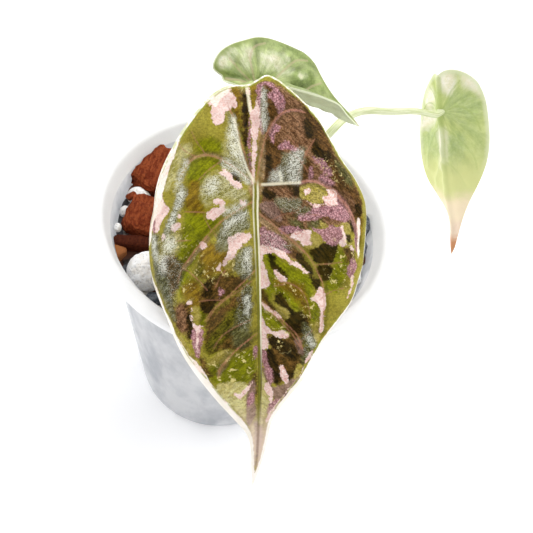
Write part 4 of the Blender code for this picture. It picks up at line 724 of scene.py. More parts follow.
         (13.2, -21.7), (14, -22.2), (13.9, -22.8), (13, -22.6), (11.9, -21.7), (10.6, -20.8), (9.1, -20),
         (7.5, -19), (6, -18.1), (3.9, -17.1), (2.4, -17.7), (2.1, -18.7), (2.4, -20.2), (3.2, -22),
         (3.7, -24.3), (4, -25.6), (3, -26.7), (1.7, -26.4), (1.1, -25.4)),
        ((5, -22), (6, -22), (7.3, -23), (8.6, -24.5), (7.3, -24.8), (6.1, -23.8)),
        ((16.2, -26.6), (17.3, -26.1), (18.5, -27.7), (18.8, -30), (18.3, -32.6), (18.3, -35.3),
         (18.1, -37.9), (17.2, -37.9), (17.2, -34.2), (16.9, -31.5), (16.3, -30.2), (14.9, -29.7),
         (14.7, -28.6), (15.7, -27.9)),
        ((1.4, -30.1), (2.5, -30.3), (4.1, -31.8), (5.6, -32.8), (7.2, -34.1), (6.7, -34.6), (4.6, -33.1),
         (2.5, -31.6)),
        ((1.5, -34), (2.5, -35), (3.6, -36.5), (5.2, -37.5), (6.7, -37.2), (8.3, -37.7), (9.3, -38.5),
         (8.6, -39.5), (6.7, -39.1), (4.9, -38.3), (3.6, -38.1), (3.6, -40), (3.9, -41.5), (2.6, -42.7),
         (1.5, -41.4)),
        ((6.6, -46.7), (7.6, -46.2), (8.4, -47.8), (9, -49.4), (8.7, -51.5), (7.4, -50.2), (6.9, -48.3)),
        ((2.7, -52.1), (4, -51.4), (5.1, -53.3), (5.1, -56), (4.3, -57.2), (4, -54.4), (3.2, -53.9)),
        ((-5.2, -53.6), (-3.7, -54.1), (-1.8, -52.3), (-0.5, -51), (-1.6, -53.4), (-3.1, -55.2),
         (-4.2, -55.5)),
        ((25.8, -23.7), (26.9, -23.6), (26.7, -25.3), (26.1, -27.2), (25.3, -29), (24.9, -29),
         (25.6, -26.9)),
        ((13.1, -46.7), (14.9, -42.5), (15.7, -43.1), (13.6, -46.2), (12.4, -49.1), (10.3, -51.8),
         (8.3, -54.5), (6.7, -57.3), (5.2, -59.6), (4.4, -61.6), (3.3, -62.8), (3.1, -61.7), (4.4, -59.1),
         (5.9, -57.1), (7.5, -55.1), (9.5, -52.6), (11.6, -49.9)),
        ((-9.8, -21.4), (-8.7, -19.8), (-8.2, -20.3), (-9.2, -21.9)),
    ),
    "cream": (
        ((-12.6, 22.8), (-11.1, 26.3), (-8, 25.8), (-7.2, 24.2), (-9, 22.5), (-10.5, 19.8), (-11.5, 20.9)),
        ((-19, 14.4), (-20.7, 11.9), (-22.4, 9.4), (-24.2, 6.9), (-25.7, 4.4), (-27, 1.8), (-28.1, -0.9),
         (-28.4, -3.5), (-28.8, -6.2), (-29.6, -8.9), (-30.6, -11.6), (-31.2, -14.4), (-30.8, -16.3),
         (-29.5, -14.4), (-29, -11.6), (-28.2, -9.5), (-26.4, -7.4), (-24.6, -5.6), (-24.3, -4), (-25, -2.4),
         (-24.4, -0.6), (-23.7, 1.5), (-23.2, 3.6), (-22.4, 5.7), (-21.2, 8.5), (-20.4, 11.1)),
        ((-30.2, -24), (-29, -28), (-27.6, -30.7), (-26.2, -33.3), (-24.6, -35.9), (-23.2, -38.4),
         (-21.9, -41), (-20.5, -43.6), (-18.7, -46.1), (-16.5, -48.5), (-14.6, -51.1), (-12.4, -53.6),
         (-10.1, -56.2), (-7.8, -58.8), (-5.2, -61.6), (-3.4, -63.6), (-2, -65.3), (-2, -63.3), (-3.6, -60.7),
         (-6, -57.7), (-8.4, -55), (-10.5, -52.6), (-12.1, -50.3), (-13.4, -48), (-15.1, -46), (-17.4, -44.3),
         (-18.8, -42.3), (-20.4, -40.3), (-21.9, -37.7), (-23.2, -35.2), (-24.9, -32.6), (-26.3, -30),
         (-27.8, -26.9)),
        ((28.7, -8.1), (29.4, -8.1), (29.8, -10.5), (29.6, -13.8), (29.4, -17.1), (28.6, -18.9),
         (28.3, -18.7), (28.7, -15.4), (28.5, -11.6)),
    ),
    "fleck": (
        ((-15.4, -15.3), (-13.5, -15.8), (-15.3, -18.4), (-17.9, -21.6), (-19.6, -25.3), (-20.9, -24.8),
         (-19.3, -21.1), (-17.6, -17.9)),
        ((-18.7, -17.4), (-15.4, -16.3), (-13.7, -17.8), (-16.5, -21.5), (-18.7, -21.1)),
        ((-14.3, -21.5), (-10.5, -19.8), (-5.9, -18.3), (-4.9, -21.3), (-7.4, -23.4), (-11.6, -25),
         (-14.8, -26.1), (-17, -29.9), (-19.4, -29), (-17.6, -24.7)),
        ((-12.1, -47.1), (-6.8, -43.1), (-2.2, -42.1), (0.5, -43.5), (0.3, -49.6), (-3.7, -51.1),
         (-10.5, -51.3)),
        ((20.9, -13.9), (25.3, -14.4), (28.1, -17), (26, -19.7), (22.1, -19.7), (20.3, -17)),
        ((12.3, -28.4), (16, -30), (17.2, -36.8), (15.1, -37.8), (12.9, -33.5)),
        ((19.2, -20.7), (24.7, -20.7), (26, -25.6), (23.5, -27.1), (19.8, -25.4)),
        ((2.9, -22.3), (7.1, -24.3), (11.7, -25.3), (12.8, -29.4), (5.6, -27.4), (3.5, -25.4)),
        ((4.1, -38.4), (8.3, -39.3), (9.4, -41.4), (7.8, -42.5), (5.2, -40.9)),
        ((14, 7.1), (19.6, 7), (24.6, 3.2), (23.3, 0.9), (18.5, 3.2)),
        ((-21.1, -12.2), (-18.2, -10.7), (-17, -12.2), (-19.3, -16.9), (-22.4, -17.5)),
        ((2, -31.6), (6.7, -35.1), (8.8, -38.2), (4.1, -37.3), (1.7, -34.8)),
    ),
    # painted sheen: pale patches that stand in for the light the glossy leaf mirrors
    "paintedSheen": (
        ((-6.3, 18.3), (-5.5, 16.7), (-5, 13.6), (-4.4, 9.9), (-3.6, 6.3), (-2.5, 3.8), (-3.3, 3.2),
         (-5.1, 6.3), (-6.7, 7.8), (-7, 11.4), (-6.8, 14.6)),
        ((-8.7, 6.2), (-6.9, 6.5), (-5.4, 5.2), (-3.8, 4), (-2, 1.7), (-1.5, 0.2), (-2.5, 0.4), (-4.6, 2.2),
         (-7.2, 3.4), (-8.7, 4.7)),
        ((-8.6, -6.3), (-6.5, -5.8), (-4.5, -5), (-2.2, -4.2), (-3.2, -6), (-5.8, -7.3), (-7.5, -8.3)),
        ((-18.6, 7), (-17.7, 5.9), (-18.3, 3.9), (-19.4, 1.3), (-20.6, -1.3), (-21.2, -0.4), (-20.6, 2.1),
         (-19.7, 4.7)),
        ((-19.4, -0.8), (-18.2, -1.9), (-18.5, -3.9), (-19.6, -6.5), (-20.8, -9.6), (-22.4, -11.7),
         (-23, -10.6), (-21.4, -7), (-20.3, -3.9)),
        ((-23.7, -13.3), (-21.1, -13.8), (-21.1, -16.4), (-22.7, -18), (-24, -17)),
        ((-28.7, -13.8), (-27.2, -13.8), (-26.8, -18.1), (-27.3, -20.3), (-28.4, -18.7)),
        ((-25.1, -18.1), (-23, -18.5), (-23.7, -22.3), (-25.1, -23.4), (-26.1, -20.2)),
        ((9.3, 8.2), (11.4, 8.8), (11.7, 6.5), (11.2, 3.4), (11.4, 0.8), (9.1, 0.8), (8.1, 3.8),
         (8.6, 6.4)),
        ((4.5, 3), (6.8, 4.1), (6.8, 1.3), (3.7, 0.7)),
        ((1.5, 24.3), (2.2, 24.3), (2.5, 19.4), (2.8, 15.7), (2.1, 13.9), (1.5, 15.3)),
        ((-7.5, -9.6), (-5.8, -8.3), (-3.7, -7), (-2.2, -7), (-2.7, -8.3), (-5, -9.8), (-6.8, -10.9),
         (-8.3, -12.7)),
        ((-2.9, -17.2), (-1.3, -16.4), (-1, -20.3), (-1.8, -22.3), (-2.8, -20.8)),
        ((-2.5, -29), (-1.5, -28.5), (-1.3, -31.4), (-2, -33.2), (-2.6, -31.1)),
        ((14, -38.3), (15.1, -39.4), (15.9, -41), (14.9, -41.5), (13.8, -39.8)),
        ((-12, 0.6), (-10.5, 1.6), (-9.2, 0.1), (-10.2, -2.2), (-11.7, -2.7), (-12.8, -1.4)),
    ),
}
frontLines = {
    "fine": (
        ((-6.3, 18.8), (-5.3, 15.7), (-4.2, 11.5), (-3.1, 7.9), (-1.5, 4.3), (-0.4, 1.3)),
        ((-12.6, 7.3), (-15, 10.5), (-16.7, 13.7)),
        ((-15.5, 7.1), (-18.9, 9.1), (-20.7, 11.3)),
        ((-14.4, 1.1), (-11.3, 4.2), (-8.7, 6.2)),
        ((-16.5, -14.3), (-19.9, -14.6), (-23, -14.8)),
        ((-12.7, -7.3), (-15.4, -7.1), (-18.2, -7)),
        ((-13.2, -8.1), (-11.6, -11.2), (-10.1, -13.2)),
        ((-0.7, -24.6), (-3.8, -27), (-6.9, -29), (-10, -31.7), (-12.6, -35.4)),
        ((-7.4, -21.8), (-9, -23.9), (-10, -26.5)),
        ((-14.2, -30), (-11, -29.6), (-8.4, -29.6)),
        ((-10.5, -42.2), (-8.4, -38.9), (-4.8, -36.3), (-1.2, -34.7)),
        ((-6.3, -44.2), (-8.4, -46.9), (-9.4, -50.1)),
        ((2, -30.3), (4.6, -32.8), (7.7, -35.9), (10.4, -39), (12.5, -42.5)),
        ((15.6, -20.4), (18.6, -20.1), (22.8, -19.7)),
        ((6.1, -24.3), (9.7, -25.3), (12.3, -27.3), (13.9, -31), (14.5, -34.1)),
        ((5, -25.8), (7.6, -25.3)),
        ((17.1, -29.5), (19.9, -27.5), (23.5, -26.5)),
        ((6.8, 9), (10.4, 7), (13.5, 3.5)),
        ((7.7, 12.6), (11.4, 9.1), (14.6, 6.6), (17.3, 4.2)),
        ((4.4, -9), (7.9, -7.4), (12.6, -7.3), (16.9, -7.8)),
        ((10.4, 0.8), (11.4, 4.4), (13, 8.6), (15.1, 12)),
        ((12, -40.9), (13.5, -38.8), (15.1, -37.3)),
        ((-19.3, -21.6), (-15.3, -23.6), (-12.1, -27.1)),
    ),
    # pale streaks along the midrib and side veins, partly painted highlight on their ridges
    "streaks": (
        ((-2.8, 26.9), (-2.2, 23.4), (-1.9, 21.2), (-1.6, 19.1)),
        ((-5.8, 17.2), (-5, 13), (-3.9, 8.4), (-2.3, 4.3), (-0.4, 0.8)),
        ((1.7, 0.1), (4.3, 0.2), (6.8, 0.4), (9.4, 0.6), (11.4, 0.7)),
        ((6.3, 3), (6.7, 1.8), (6.6, 1)),
    ),
}
frontMargin = {  # width of the pale margin along y
    "left": (
        (-82, 0.6), (-70, 0.7), (-62, 1.6), (-50, 1.9), (-40, 1.6), (-26, 1.0),
        (-12, 0.7), (0, 1.0), (14, 1.2), (22, 0.9), (28, 0.4),
    ),
    "right": (
        (-82, 0.6), (-66, 0.7), (-58, 0.9), (-50, 1.2), (-42, 0.8),
        (-34, 0.5), (0, 0.5), (20, 0.45), (29, 0.6),
    ),
}


def leafOutline(leaf, step):
    right = smoothLine((*leaf["right"], leaf["tip"]), step=step)
    left = smoothLine((leaf["tip"], *leaf["left"], leaf["right"][0]), step=step)
    return np.concatenate([right[:-1], left[:-1]])


def foldLine(leaf, y):
    middle = smoothLine(leaf["midrib"])
    return np.interp(y, middle[:, 1], middle[:, 0])


def leafBend(leaf, x, y):  # flat coordinates folded along the midrib, then drooped
    fold = foldLine(leaf, y)
    right = x > fold
    rise, edge, lobeRise = (np.where(right, *leaf[key]) for key in ("rise", "edge", "lobeRise"))
    lobe = np.clip(y / blade["lobeBlend"], 0.0, 1.0)
    lobe = lobe * lobe * (3 - 2 * lobe)
    turn = np.radians(edge - rise) / leaf["halfWidth"]
    rise = np.radians(rise + (lobeRise - rise) * lobe)
    reach = np.abs(x - fold)
    softness = blade["foldSoftness"]
    soft = np.sqrt(reach * reach + softness ** 2)
    across = (np.sin(rise + turn * reach) - np.sin(rise)) / turn
    lift = (np.cos(rise + turn * softness) - np.cos(rise + turn * soft)) / turn
    droop = np.where(y < 0, *leaf["droop"])
    along = np.sin(droop * y) / droop + lift * np.sin(droop * y)
    up = lift * np.cos(droop * y) - (1 - np.cos(droop * y)) / droop
    return np.stack([fold + np.where(right, across, -across), along, up], axis=1)


def leafNormal(leaf, x, y):
    small = blade["normalStep"]
    dx = leafBend(leaf, x + small, y) - leafBend(leaf, x - small, y)
    dy = leafBend(leaf, x, y + small) - leafBend(leaf, x, y - small)
    normal = np.cross(dx, dy)
    return normal / np.linalg.norm(normal, axis=1)[:, None]


def hump(distance, reach):
    return np.exp(-(distance / reach) ** 2)


def fade(distance, reach):
    return np.exp(-distance / reach)


def leafSides(leaf, flat, outline, fineLines=()):  # both faces, and the distances they follow
    x, y = flat.T
    lines = {"margin": [np.vstack([outline, outline[:1]])]}
    for key, drawn in (("rib", leaf["ribs"]), ("midrib", [leaf["midrib"]]), ("fine", fineLines)):
        lines[key] = [smoothLine(line) for line in drawn]
    near = {key: distanceTo(flat, drawn) for key, drawn in lines.items()}
    margin, rib, midrib, fine = near.values()
    vein = np.minimum(rib, midrib)
    pad = hump(np.hypot(x, y), blade["pad"][1])
    free = 1 - fade(margin, blade["freeReach"])
    lift = leaf["puff"] * (1 - hump(vein, blade["ribReach"])) * free
    lift -= leaf["curl"] * fade(margin, blade["curlReach"])
    panel = 1 - hump(np.minimum(vein, fine), blade["fineReach"]) - blade["fineSink"]
    lift += blade["finePuff"] * free * panel
    for turn, wave in blade["waves"]:
        way = x * math.cos(turn) + y * math.sin(turn)
        lift += blade["lumps"] * free * np.sin(2 * math.pi * way / wave + 9 * turn)
    cord, furrow = blade["cord"], blade["furrow"]
    raised = cord[0] * hump(midrib, cord[1]) - furrow[0] * hump(midrib - furrow[1], furrow[2])
    lift += raised * free * (1 - pad)
    inside = np.clip(margin / blade["veinEnd"], 0.0, 1.0)
    keel = blade["keel"][0] * fade(midrib, blade["keel"][1]) * inside
    keel *= np.where(y < 0, 1.0, blade["lobeKeel"])
    ridge = blade["ridge"][0] * fade(rib, blade["ridge"][1]) * inside
    depth = blade["thickness"] - blade["marginThickness"]
    depth = blade["marginThickness"] + depth * (1 - fade(margin, blade["marginReach"]))
    depth += np.maximum(keel, ridge) * (1 - pad) + blade["pad"][0] * pad
    normal = leafNormal(leaf, x, y)
    upper = leafBend(leaf, x, y) + normal * lift[:, None]
    return upper, upper - normal * depth[:, None], near


def leafPlacement(leaf):  # from leaf space to the row frame, in millimetres
    along = -Vector(leaf["tipWay"]).normalized()
    face = Vector(leaf["faceWay"])
    face = (face - along * face.dot(along)).normalized()
    turn = Matrix((along.cross(face), along, face)).transposed().to_4x4()
    return np.array(Matrix.Translation(Vector(leaf["junction"])) @ turn)


def moved(points, placement):
    return points @ placement[:3, :3].T + placement[:3, 3]


def makeBlade(name, finish, patches, fineLines=()):
    leaf, spacing = leaves[name], blade["spacing"][name]
    outline = leafOutline(leaf, spacing)
    low, high = outline.min(0), outline.max(0)
    rows = np.arange(low[1], high[1], spacing * math.sqrt(3) / 2)
    field = np.array([(x, y) for k, y in enumerate(rows)
                      for x in np.arange(low[0] + (k % 2) * spacing / 2, high[0], spacing)])
    field = field[depthIn(field, outline) > spacing * 0.55]
    count = len(outline)
    flat = [Vector(p) for p in (*outline.tolist(), *field.tolist())]
    found = delaunay_2d_cdt(flat, [], [list(range(count))], 1, 1e-4)
    inside = np.array([tuple(p) for p in found[0]])
    upper, lower, near = leafSides(leaf, inside, outline, fineLines)
    size = len(inside)
    newOf = {old: new for new, olds in enumerate(found[3]) for old in olds}
    faces = [tuple(t) for t in found[2]]
    faces += [tuple(size + i for i in reversed(t)) for t in found[2]]
    rim = [newOf[i] for i in range(count)]
    if sum(a[0] * b[1] - b[0] * a[1] for a, b in zip(outline, np.roll(outline, -1, axis=0))) < 0:
        rim.reverse()
    for i, j in zip(rim, rim[1:] + rim[:1]):
        faces += [(i, size + i, size + j), (i, size + j, j)]
    x, y = inside.T
    aside = x - foldLine(leaf, y)
    spoke = np.column_stack([blade["spokes"] * np.arctan2(x, -y), np.hypot(x, y), np.zeros(size)])
    near.update(flat=np.column_stack([inside, np.zeros(size)]), aside=aside, spoke=spoke)
    near.update({key: patchDepth(inside, corners) for key, corners in patches.items()})
    if name == "front":
        left, right = (np.interp(y, *zip(*frontMargin[side])) for side in ("left", "right"))
        near["pale"] = np.where(aside > 0, right, left) - near["margin"]
        near["streak"] = distanceTo(inside, [smoothLine(line) for line in frontLines["streaks"]])
        high, highSoft, low, lowSoft = blade["cordEnds"]
        near["midribShare"] = np.clip((high - y) / highSoft, 0, 1) * np.clip((y - low) / lowSoft, 0, 1)
    kept = {key: np.concatenate([values, values]) for key, values in near.items()}
    kept["under"] = np.repeat([0.0, 1.0], size)
    points = moved(np.vstack([upper, lower]), leafPlacement(leaf))
    points = np.clip(points, *np.array(cadBox) / mm)
    piece = newPiece("blade_" + name + "_detail", points, faces, finish, sharp=60, kept=kept)
    settle(piece, "blade_" + name)


# In each layer: shade, second shade, softness and wander of the edge, cover, and size of the mottling.
frontFinish = {
    "ground": ("9a9038", "84792a"),
    "layers": (
        ("bronze", "5a3d26", "896649", 0.9, 0.9, 1.0, 1.4),
        ("fresh", "82850f", "63660a", 0.9, 0.9, 0.95, 1.5),
        ("brown", "8f711d", "624412", 1.0, 1.1, 0.85, 1.3),
        ("dark", "3c2a10", "654722", 0.8, 1.2, 0.95, 1.6),
        ("moss", "34350a", "646117", 1.1, 1.1, 0.8, 1.6),
        ("black", "161204", "38290b", 0.4, 0.9, 0.96, 1.6),
        # the sage and silver layers are partly painted sheen, partly the leaf's own pale and silvery tones
        ("sageSheen", "c8c08c", "98914c", 1.1, 0.9, 0.78, 1.6),
        ("silverSheen", "838166", "55522e", 0.8, 0.9, 0.85, 1.9),
        ("slate", "66653e", "3e3c18", 0.9, 0.9, 0.88, 1.9),
        ("taupe", "94786a", "775c50", 0.4, 0.6, 0.92, 1.0),
        ("tan", "b79b74", "9a7850", 0.4, 0.5, 0.75, 1.0),
        ("khaki", "a99953", "8d8034", 0.3, 0.7, 0.95, 0.9),
        ("khakiTip", "cac28a", "aea263", 0.3, 0.6, 0.95, 0.9),
        ("mauve", "ba8d92", "86595e", 0.3, 0.8, 0.93, 1.8),
        ("rose", "c08f84", "a5746a", 0.3, 0.3, 0.85, 1.0),
        ("pink", "e8cdc5", "dcbab1", 0.12, 0.75, 1.0, 0.7),
        ("cream", "f6ece0", "f0dccf", 0.15, 0.35, 1.0, 0.6),
    ),
    # painted glints, and the darker flecks between them
    "glintFoil": ("c4c6b4", "2d2c12"),
    # painted sheen: pale shade, softness of its edge and cover
    "paintedSheen": ("e6e6da", 1.0, 0.8),
    "flecks": ("dccb88", "2c2410"),
    "vein": "a8745a",
    # painted shade in the valleys beside the veins
    "paintedVeinShade": "2a2208",
    # pale of the vein streaks, which are partly painted highlight, and of the lines beside the midrib
    "pale": "ebe5c8",
    "cord": "77752a",
    "rails": ("8b8a3a", "4f4718"),
    "line": "8f9a34",
    "lobeRim": "bcc57c",
    "tail": "e2cbbb",
    "margin": ("fcf4ec", "f3ecdf"),
    "under": "b9ab8d",
}


def frontMaterial():
    made = newMaterial("blade_front_detail", Coat_Roughness=0.22, Specular_IOR_Level=0.03)
    flat = made.kept("flat", "Vector")
    along = made.axis(flat, 1)
    broad = made.blots(flat, 0.16, 3.0)
    wander = (made.blots(flat, 0.5, 3.0, 0.6) - 0.5) * 2.4 + (made.blots(flat, 1.7, 4.0, 0.7) - 0.5) * 1.9
    grain = made.blots(flat, 2.6, 2.0, 0.6)
    streaks = made.blots(made.stretch(flat, 2.2, 0.6), 1.0, 3.0, 0.6)
    reach = made.size(made.kept("aside"))
    lateral = along + reach * 0.8  # the same all along a side vein
    spoke = made.kept("spoke", "Vector")
    colour = made.mix(made.ramp(broad, 0.35, 0.65), *map(shade, frontFinish["ground"]))
    for number, (key, first, second, soft, roam, cover, scale) in enumerate(frontFinish["layers"]):
        spot = made.node("CombineXYZ", {}, {0: lateral, 1: reach * 0.35, 2: 17.0 * number})
        mottle = made.ramp(made.blots(spot, 0.8 * scale, 5.0, 0.7), 0.4, 0.6)
        edge = made.kept(key) + wander * roam
        if key in ("sageSheen", "silverSheen", "slate"):
            edge = edge + (streaks - 0.5) * 2.0
        share = made.ramp(edge, -soft, soft) * cover
        if key == "mauve":
            mottle = 1 - made.ramp(made.cells(flat, 1.5, "DISTANCE_TO_EDGE"), 0.03, 0.16)
        colour = made.mix(share, colour, made.mix(mottle, shade(first), shade(second)))
    tooth = made.blots(made.stretch(spoke, 2.4, 1.0), 1.0, 3.0, 0.7)
    tooth = made.ramp(made.blots(flat, 2.3, 4.0, 0.75) * 0.6 + tooth * 0.4, 0.39, 0.61)
    rough = made.ramp(made.higher(made.kept("bronze"), made.kept("dark")), -1.0, 1.0)
    colour = made.mix(rough * 0.28 + 0.28, colour, tooth, "OVERLAY")
    light, deep = map(shade, frontFinish["flecks"])
    speck = made.ramp(made.blots(made.stretch(spoke, 1.5, 0.6), 1.0, 5.0, 0.75), 0.57, 0.595)
    zone = made.ramp(made.kept("fleck"), -1.5, 1.0)
    colour = made.mix(zone * 0.22, colour, deep)
    colour = made.mix(speck * zone * 0.8, colour, light)
    colour = made.mix(made.ramp(made.blots(flat, 1.3, 4.0, 0.75), 0.58, 0.68) * 0.42, colour, deep)
    rib = made.kept("rib") + wander * 0.06
    vein = (1 - made.ramp(rib, 0.06, 0.34)) * (made.ramp(broad, 0.36, 0.6) * 0.4 + 0.6)
    # Painted shade: a dark band beside each side vein, where its valley lies in shade, kept off the pink and
    # cream patches
    plain = 1 - made.ramp(made.higher(made.kept("pink"), made.kept("cream")), -0.2, 0.2)
    colour = made.mix(made.band(rib, 0.8, 0.5, 0.4) * plain * 0.4, colour, shade(frontFinish["paintedVeinShade"]))
    fine = 1 - made.ramp(made.kept("fine") + wander * 0.1, 0.05, 0.34)
    colour = made.mix(made.higher(vein * 0.85, fine * 0.55), colour, shade(frontFinish["vein"]))
    # Pale streaks along the veins, partly painted highlight on their ridges
    streak = 1 - made.ramp(made.kept("streak") + wander * 0.12, 0.1, 0.6)
    colour = made.mix(streak * 0.8, colour, shade(frontFinish["pale"]))
    # Painted glints: pale strokes for sparkling reflections over darker flecks; these patches also get more
    # coat
    glintFoil = made.ramp(made.kept("glintFoil") + wander * 0.8, -0.8, 0.8)
    crease = made.blots(made.stretch(spoke, 1.8, 0.6), 1.0, 3.0, 0.6)
    crease = made.blots(flat, 3.2, 3.0, 0.65) * 0.65 + crease * 0.35
    light, deep = map(shade, frontFinish["glintFoil"])
    colour = made.mix(glintFoil * made.ramp(crease, 0.51, 0.42) * 0.72, colour, deep)
    colour = made.mix(glintFoil * made.ramp(crease, 0.5, 0.6) * 0.5, colour, light)
    # Painted sheen: a pale streaky shade for the light the glossy leaf mirrors; it also lowers the roughness
    # there
    paintedSheen, soft, cover = frontFinish["paintedSheen"]
    paintedSheenShare = made.ramp(made.kept("paintedSheen") + wander * 0.7, -soft, soft) * made.ramp(crease, 0.4, 0.58) * cover
    colour = made.mix(paintedSheenShare, colour, shade(paintedSheen))
    share = made.kept("midribShare")
    aside = made.kept("aside") * (1 - along * 0.008) + wander * 0.08
    rails = made.mix(made.ramp(along, -18, -44), *map(shade, frontFinish["rails"]))
    colour = made.mix(made.band(aside, 0.1, 0.72, 0.2) * share * 0.85, colour, rails)
    cord = made.band(aside + wander * 0.1, -0.05, 0.32, 0.2)
    colour = made.mix(cord * share * 0.9, colour, shade(frontFinish["cord"]))
    left = made.band(aside, -0.6, 0.2, 0.14) * made.ramp(along, -30, -8)
    right = made.band(aside, 0.55, 0.24, 0.14) * made.ramp(along, -52, -36)
    colour = made.mix(made.higher(left * 0.8, right) * share, colour, shade(frontFinish["pale"]))
    tail = made.ramp(along + wander * 3.0, -56, -68)
    cord = made.band(aside, -0.1, 0.5, 0.4)
    colour = made.mix(tail * (0.78 - cord * 0.5), colour, shade(frontFinish["tail"]))
    rim = made.ramp(made.kept("pale") + wander * 0.25, -0.12, 0.12)
    border = made.mix(made.ramp(broad, 0.4, 0.6), *map(shade, frontFinish["margin"]))
    lobes = made.ramp(along, 0, 8) * made.ramp(made.blots(flat, 0.6, 3.0), 0.42, 0.56) * 0.7
    colour = made.mix(rim, colour, made.mix(lobes, border, shade(frontFinish["lobeRim"])))
    line = made.band(made.kept("pale") + wander * 0.15, -0.3, 0.2, 0.2)
    line = line * made.ramp(made.blots(flat, 0.25, 3.0), 0.44, 0.54)
    colour = made.mix(line * (1 - tail) * 0.7, colour, shade(frontFinish["line"]))
    under = made.kept("under")
    colour = made.mix(under * 0.6, colour, shade(frontFinish["under"]))
    relief = made.blots(flat, 1.1, 3.0, 0.55) * 0.5 + crease * glintFoil * 0.35
    relief = relief + made.cells(flat, 1.7) * 0.3 + grain * 0.15
    return made.feed(
        Base_Color=colour,
        Roughness=0.38 + (grain - 0.5) * 0.12 - paintedSheenShare * 0.15 + under * 0.2,
        Coat_Weight=(1 - under) * (glintFoil * 0.22 + 0.02),
        Normal=made.bump(relief, 0.0003, 0.6),
    )


# The same for the two small leaves.
paleSectors = {
    "middle": {
        # on the middle leaf the light and cream patches are partly painted highlights on the bulges between
        # the veins, and the deep patches partly painted shade in the fold and under the bulges
        "deep": (
            ((2.2, 11.8), (3.3, 10), (3.2, 7.4), (2.4, 4.1), (2.3, 0.8), (3.8, -2.4), (4, -5.2), (2.5, -2.5),
             (1, 2.7), (0.1, 7.3), (0.5, 10.4)),
            ((11.1, 7.4), (11.8, 5.8), (9.4, 6.6), (6.7, 7.6), (3.9, 6.8), (3.2, 7.4), (5.4, 8.5),
             (8.4, 8.2)),
            ((14, 1.4), (15.1, -0.7), (14.5, -2.7), (11.9, -1), (10.1, 0.7), (11.2, 1.7)),
            ((7.7, -11.4), (9.2, -14.4), (9.2, -18.2), (6.9, -21.6), (5.2, -24.3), (3.6, -20.3),
             (-13.1, -6.9), (3.7, -11)),
            ((15.2, -4.8), (16.2, -9.9), (15.9, -15), (14.2, -18.6), (11, -21.5), (11.2, -18.3),
             (13.2, -13.9), (14, -8.8)),
            ((10.3, -9.2), (11, -11.4), (9.8, -12.1), (8.2, -9.9), (8.7, -8.5)),
        ),
        "light": (
            ((4, 13.1), (7, 12.5), (8.5, 10.6), (9.7, 8.1), (8.8, 6.6), (6.1, 7.5), (4.3, 9.4), (3.3, 10),
             (2.4, 11.8)),
            ((9.6, 5.6), (11.5, 3.3), (10.5, 2), (7.2, 2.4), (4.2, 2.6), (3.7, 4.9), (6.5, 6)),
            ((9.1, -0.2), (11.3, -3.7), (11.9, -7.9), (10.7, -10.7), (8.3, -9.2), (6.6, -7.8), (5.7, -4.3),
             (5.5, -0.9)),
            ((6.3, -6.4), (7.3, -9.2), (8.1, -12.1), (6.2, -10.7), (4.9, -7.2)),
            ((6.6, -13.3), (7.8, -15.2), (7.8, -16.7), (6.7, -16), (5.9, -14.1)),
        ),
        "cream": (
            ((4.6, 12.5), (6.6, 11.9), (7.6, 10.7), (6.9, 9.9), (5, 10.1), (4, 10.9), (3.3, 11.9)),
            ((10.5, 3.3), (11.1, 2.2), (9.2, 1.9), (7.2, 2.6), (7, 3.3), (8.8, 3.7)),
            ((9, -2.2), (10.4, -5), (10.3, -7.1), (8.8, -6.4), (7.7, -3.6)),
            ((7.5, -5.3), (8.2, -7.1), (7.1, -7.2), (6.6, -5.7)),
            ((6.7, -13.8), (7.4, -15), (7, -15.5), (6.1, -14.5)),
        ),
    },
    "back": {
        "deep": (
            ((-2.7, 6.6), (-7.1, 6.8), (-11.3, 5.4), (-14.6, 2.4), (-14.4, -2.1), (-10.8, -4.6), (-6.4, -3.2),
             (-3, -0.9), (-1.5, 3)),
            ((14.1, -11.2), (8.8, -8.1), (0.5, -7.3), (0.3, -12), (4.6, -19), (10.7, -22.7), (15.2, -20.6),
             (16.1, -15.6)),
            ((-1.5, -9.2), (-6.1, -8.9), (-8.7, -11.1), (-7.9, -16.8), (-5.8, -22.5), (-3.3, -26.2),
             (-1.6, -23), (-1.1, -16)),
            ((2.4, 0.9), (-2.3, 2), (-6.5, -2.3), (-10.7, -6.5), (-13.1, -10.5), (-9.6, -9.2), (-4.6, -4.9),
             (-0.1, -1.5)),
        ),
        "light": (
            ((-9.8, -6.4), (-14.2, -5.8), (-15.8, -10.6), (-14.6, -16.3), (-12.6, -22), (-10, -19.9),
             (-9.4, -13.1)),
            ((15.5, -22.7), (4.9, -21.2), (1, -24.1), (4.3, -30.2), (10, -29.8), (14.5, -26.7)),
            ((10.4, 4), (0.6, 5), (-0.4, 1.3), (7.7, -1.2), (12.8, -1.1)),
        ),
        "cream": (
            ((0.1, 13.3), (-2.6, 14.8), (-5.5, 13.4), (-5.6, 9.7), (-4, 6.3), (-1.8, 6.7), (-0.1, 9.6)),
            ((-8, 12.1), (-11, 12.5), (-13.8, 9.6), (-14.8, 5.9), (-13.9, 4.3), (-11.4, 6.3), (-8.5, 8.4)),
            ((15.7, -6.5), (11.3, -2.3), (3.9, -1.8), (6.6, -5.7), (12.3, -9.3), (16.1, -9.5)),
            ((2.9, -8.8), (-0.8, -6.3), (-0.9, -11.1), (0.5, -21), (3.2, -23.7), (4.4, -18)),
            ((9.3, 6.1), (5.3, 7.7), (2.8, 4.5), (7.6, -0.2), (10.9, 1.1)),
        ),
    },
}


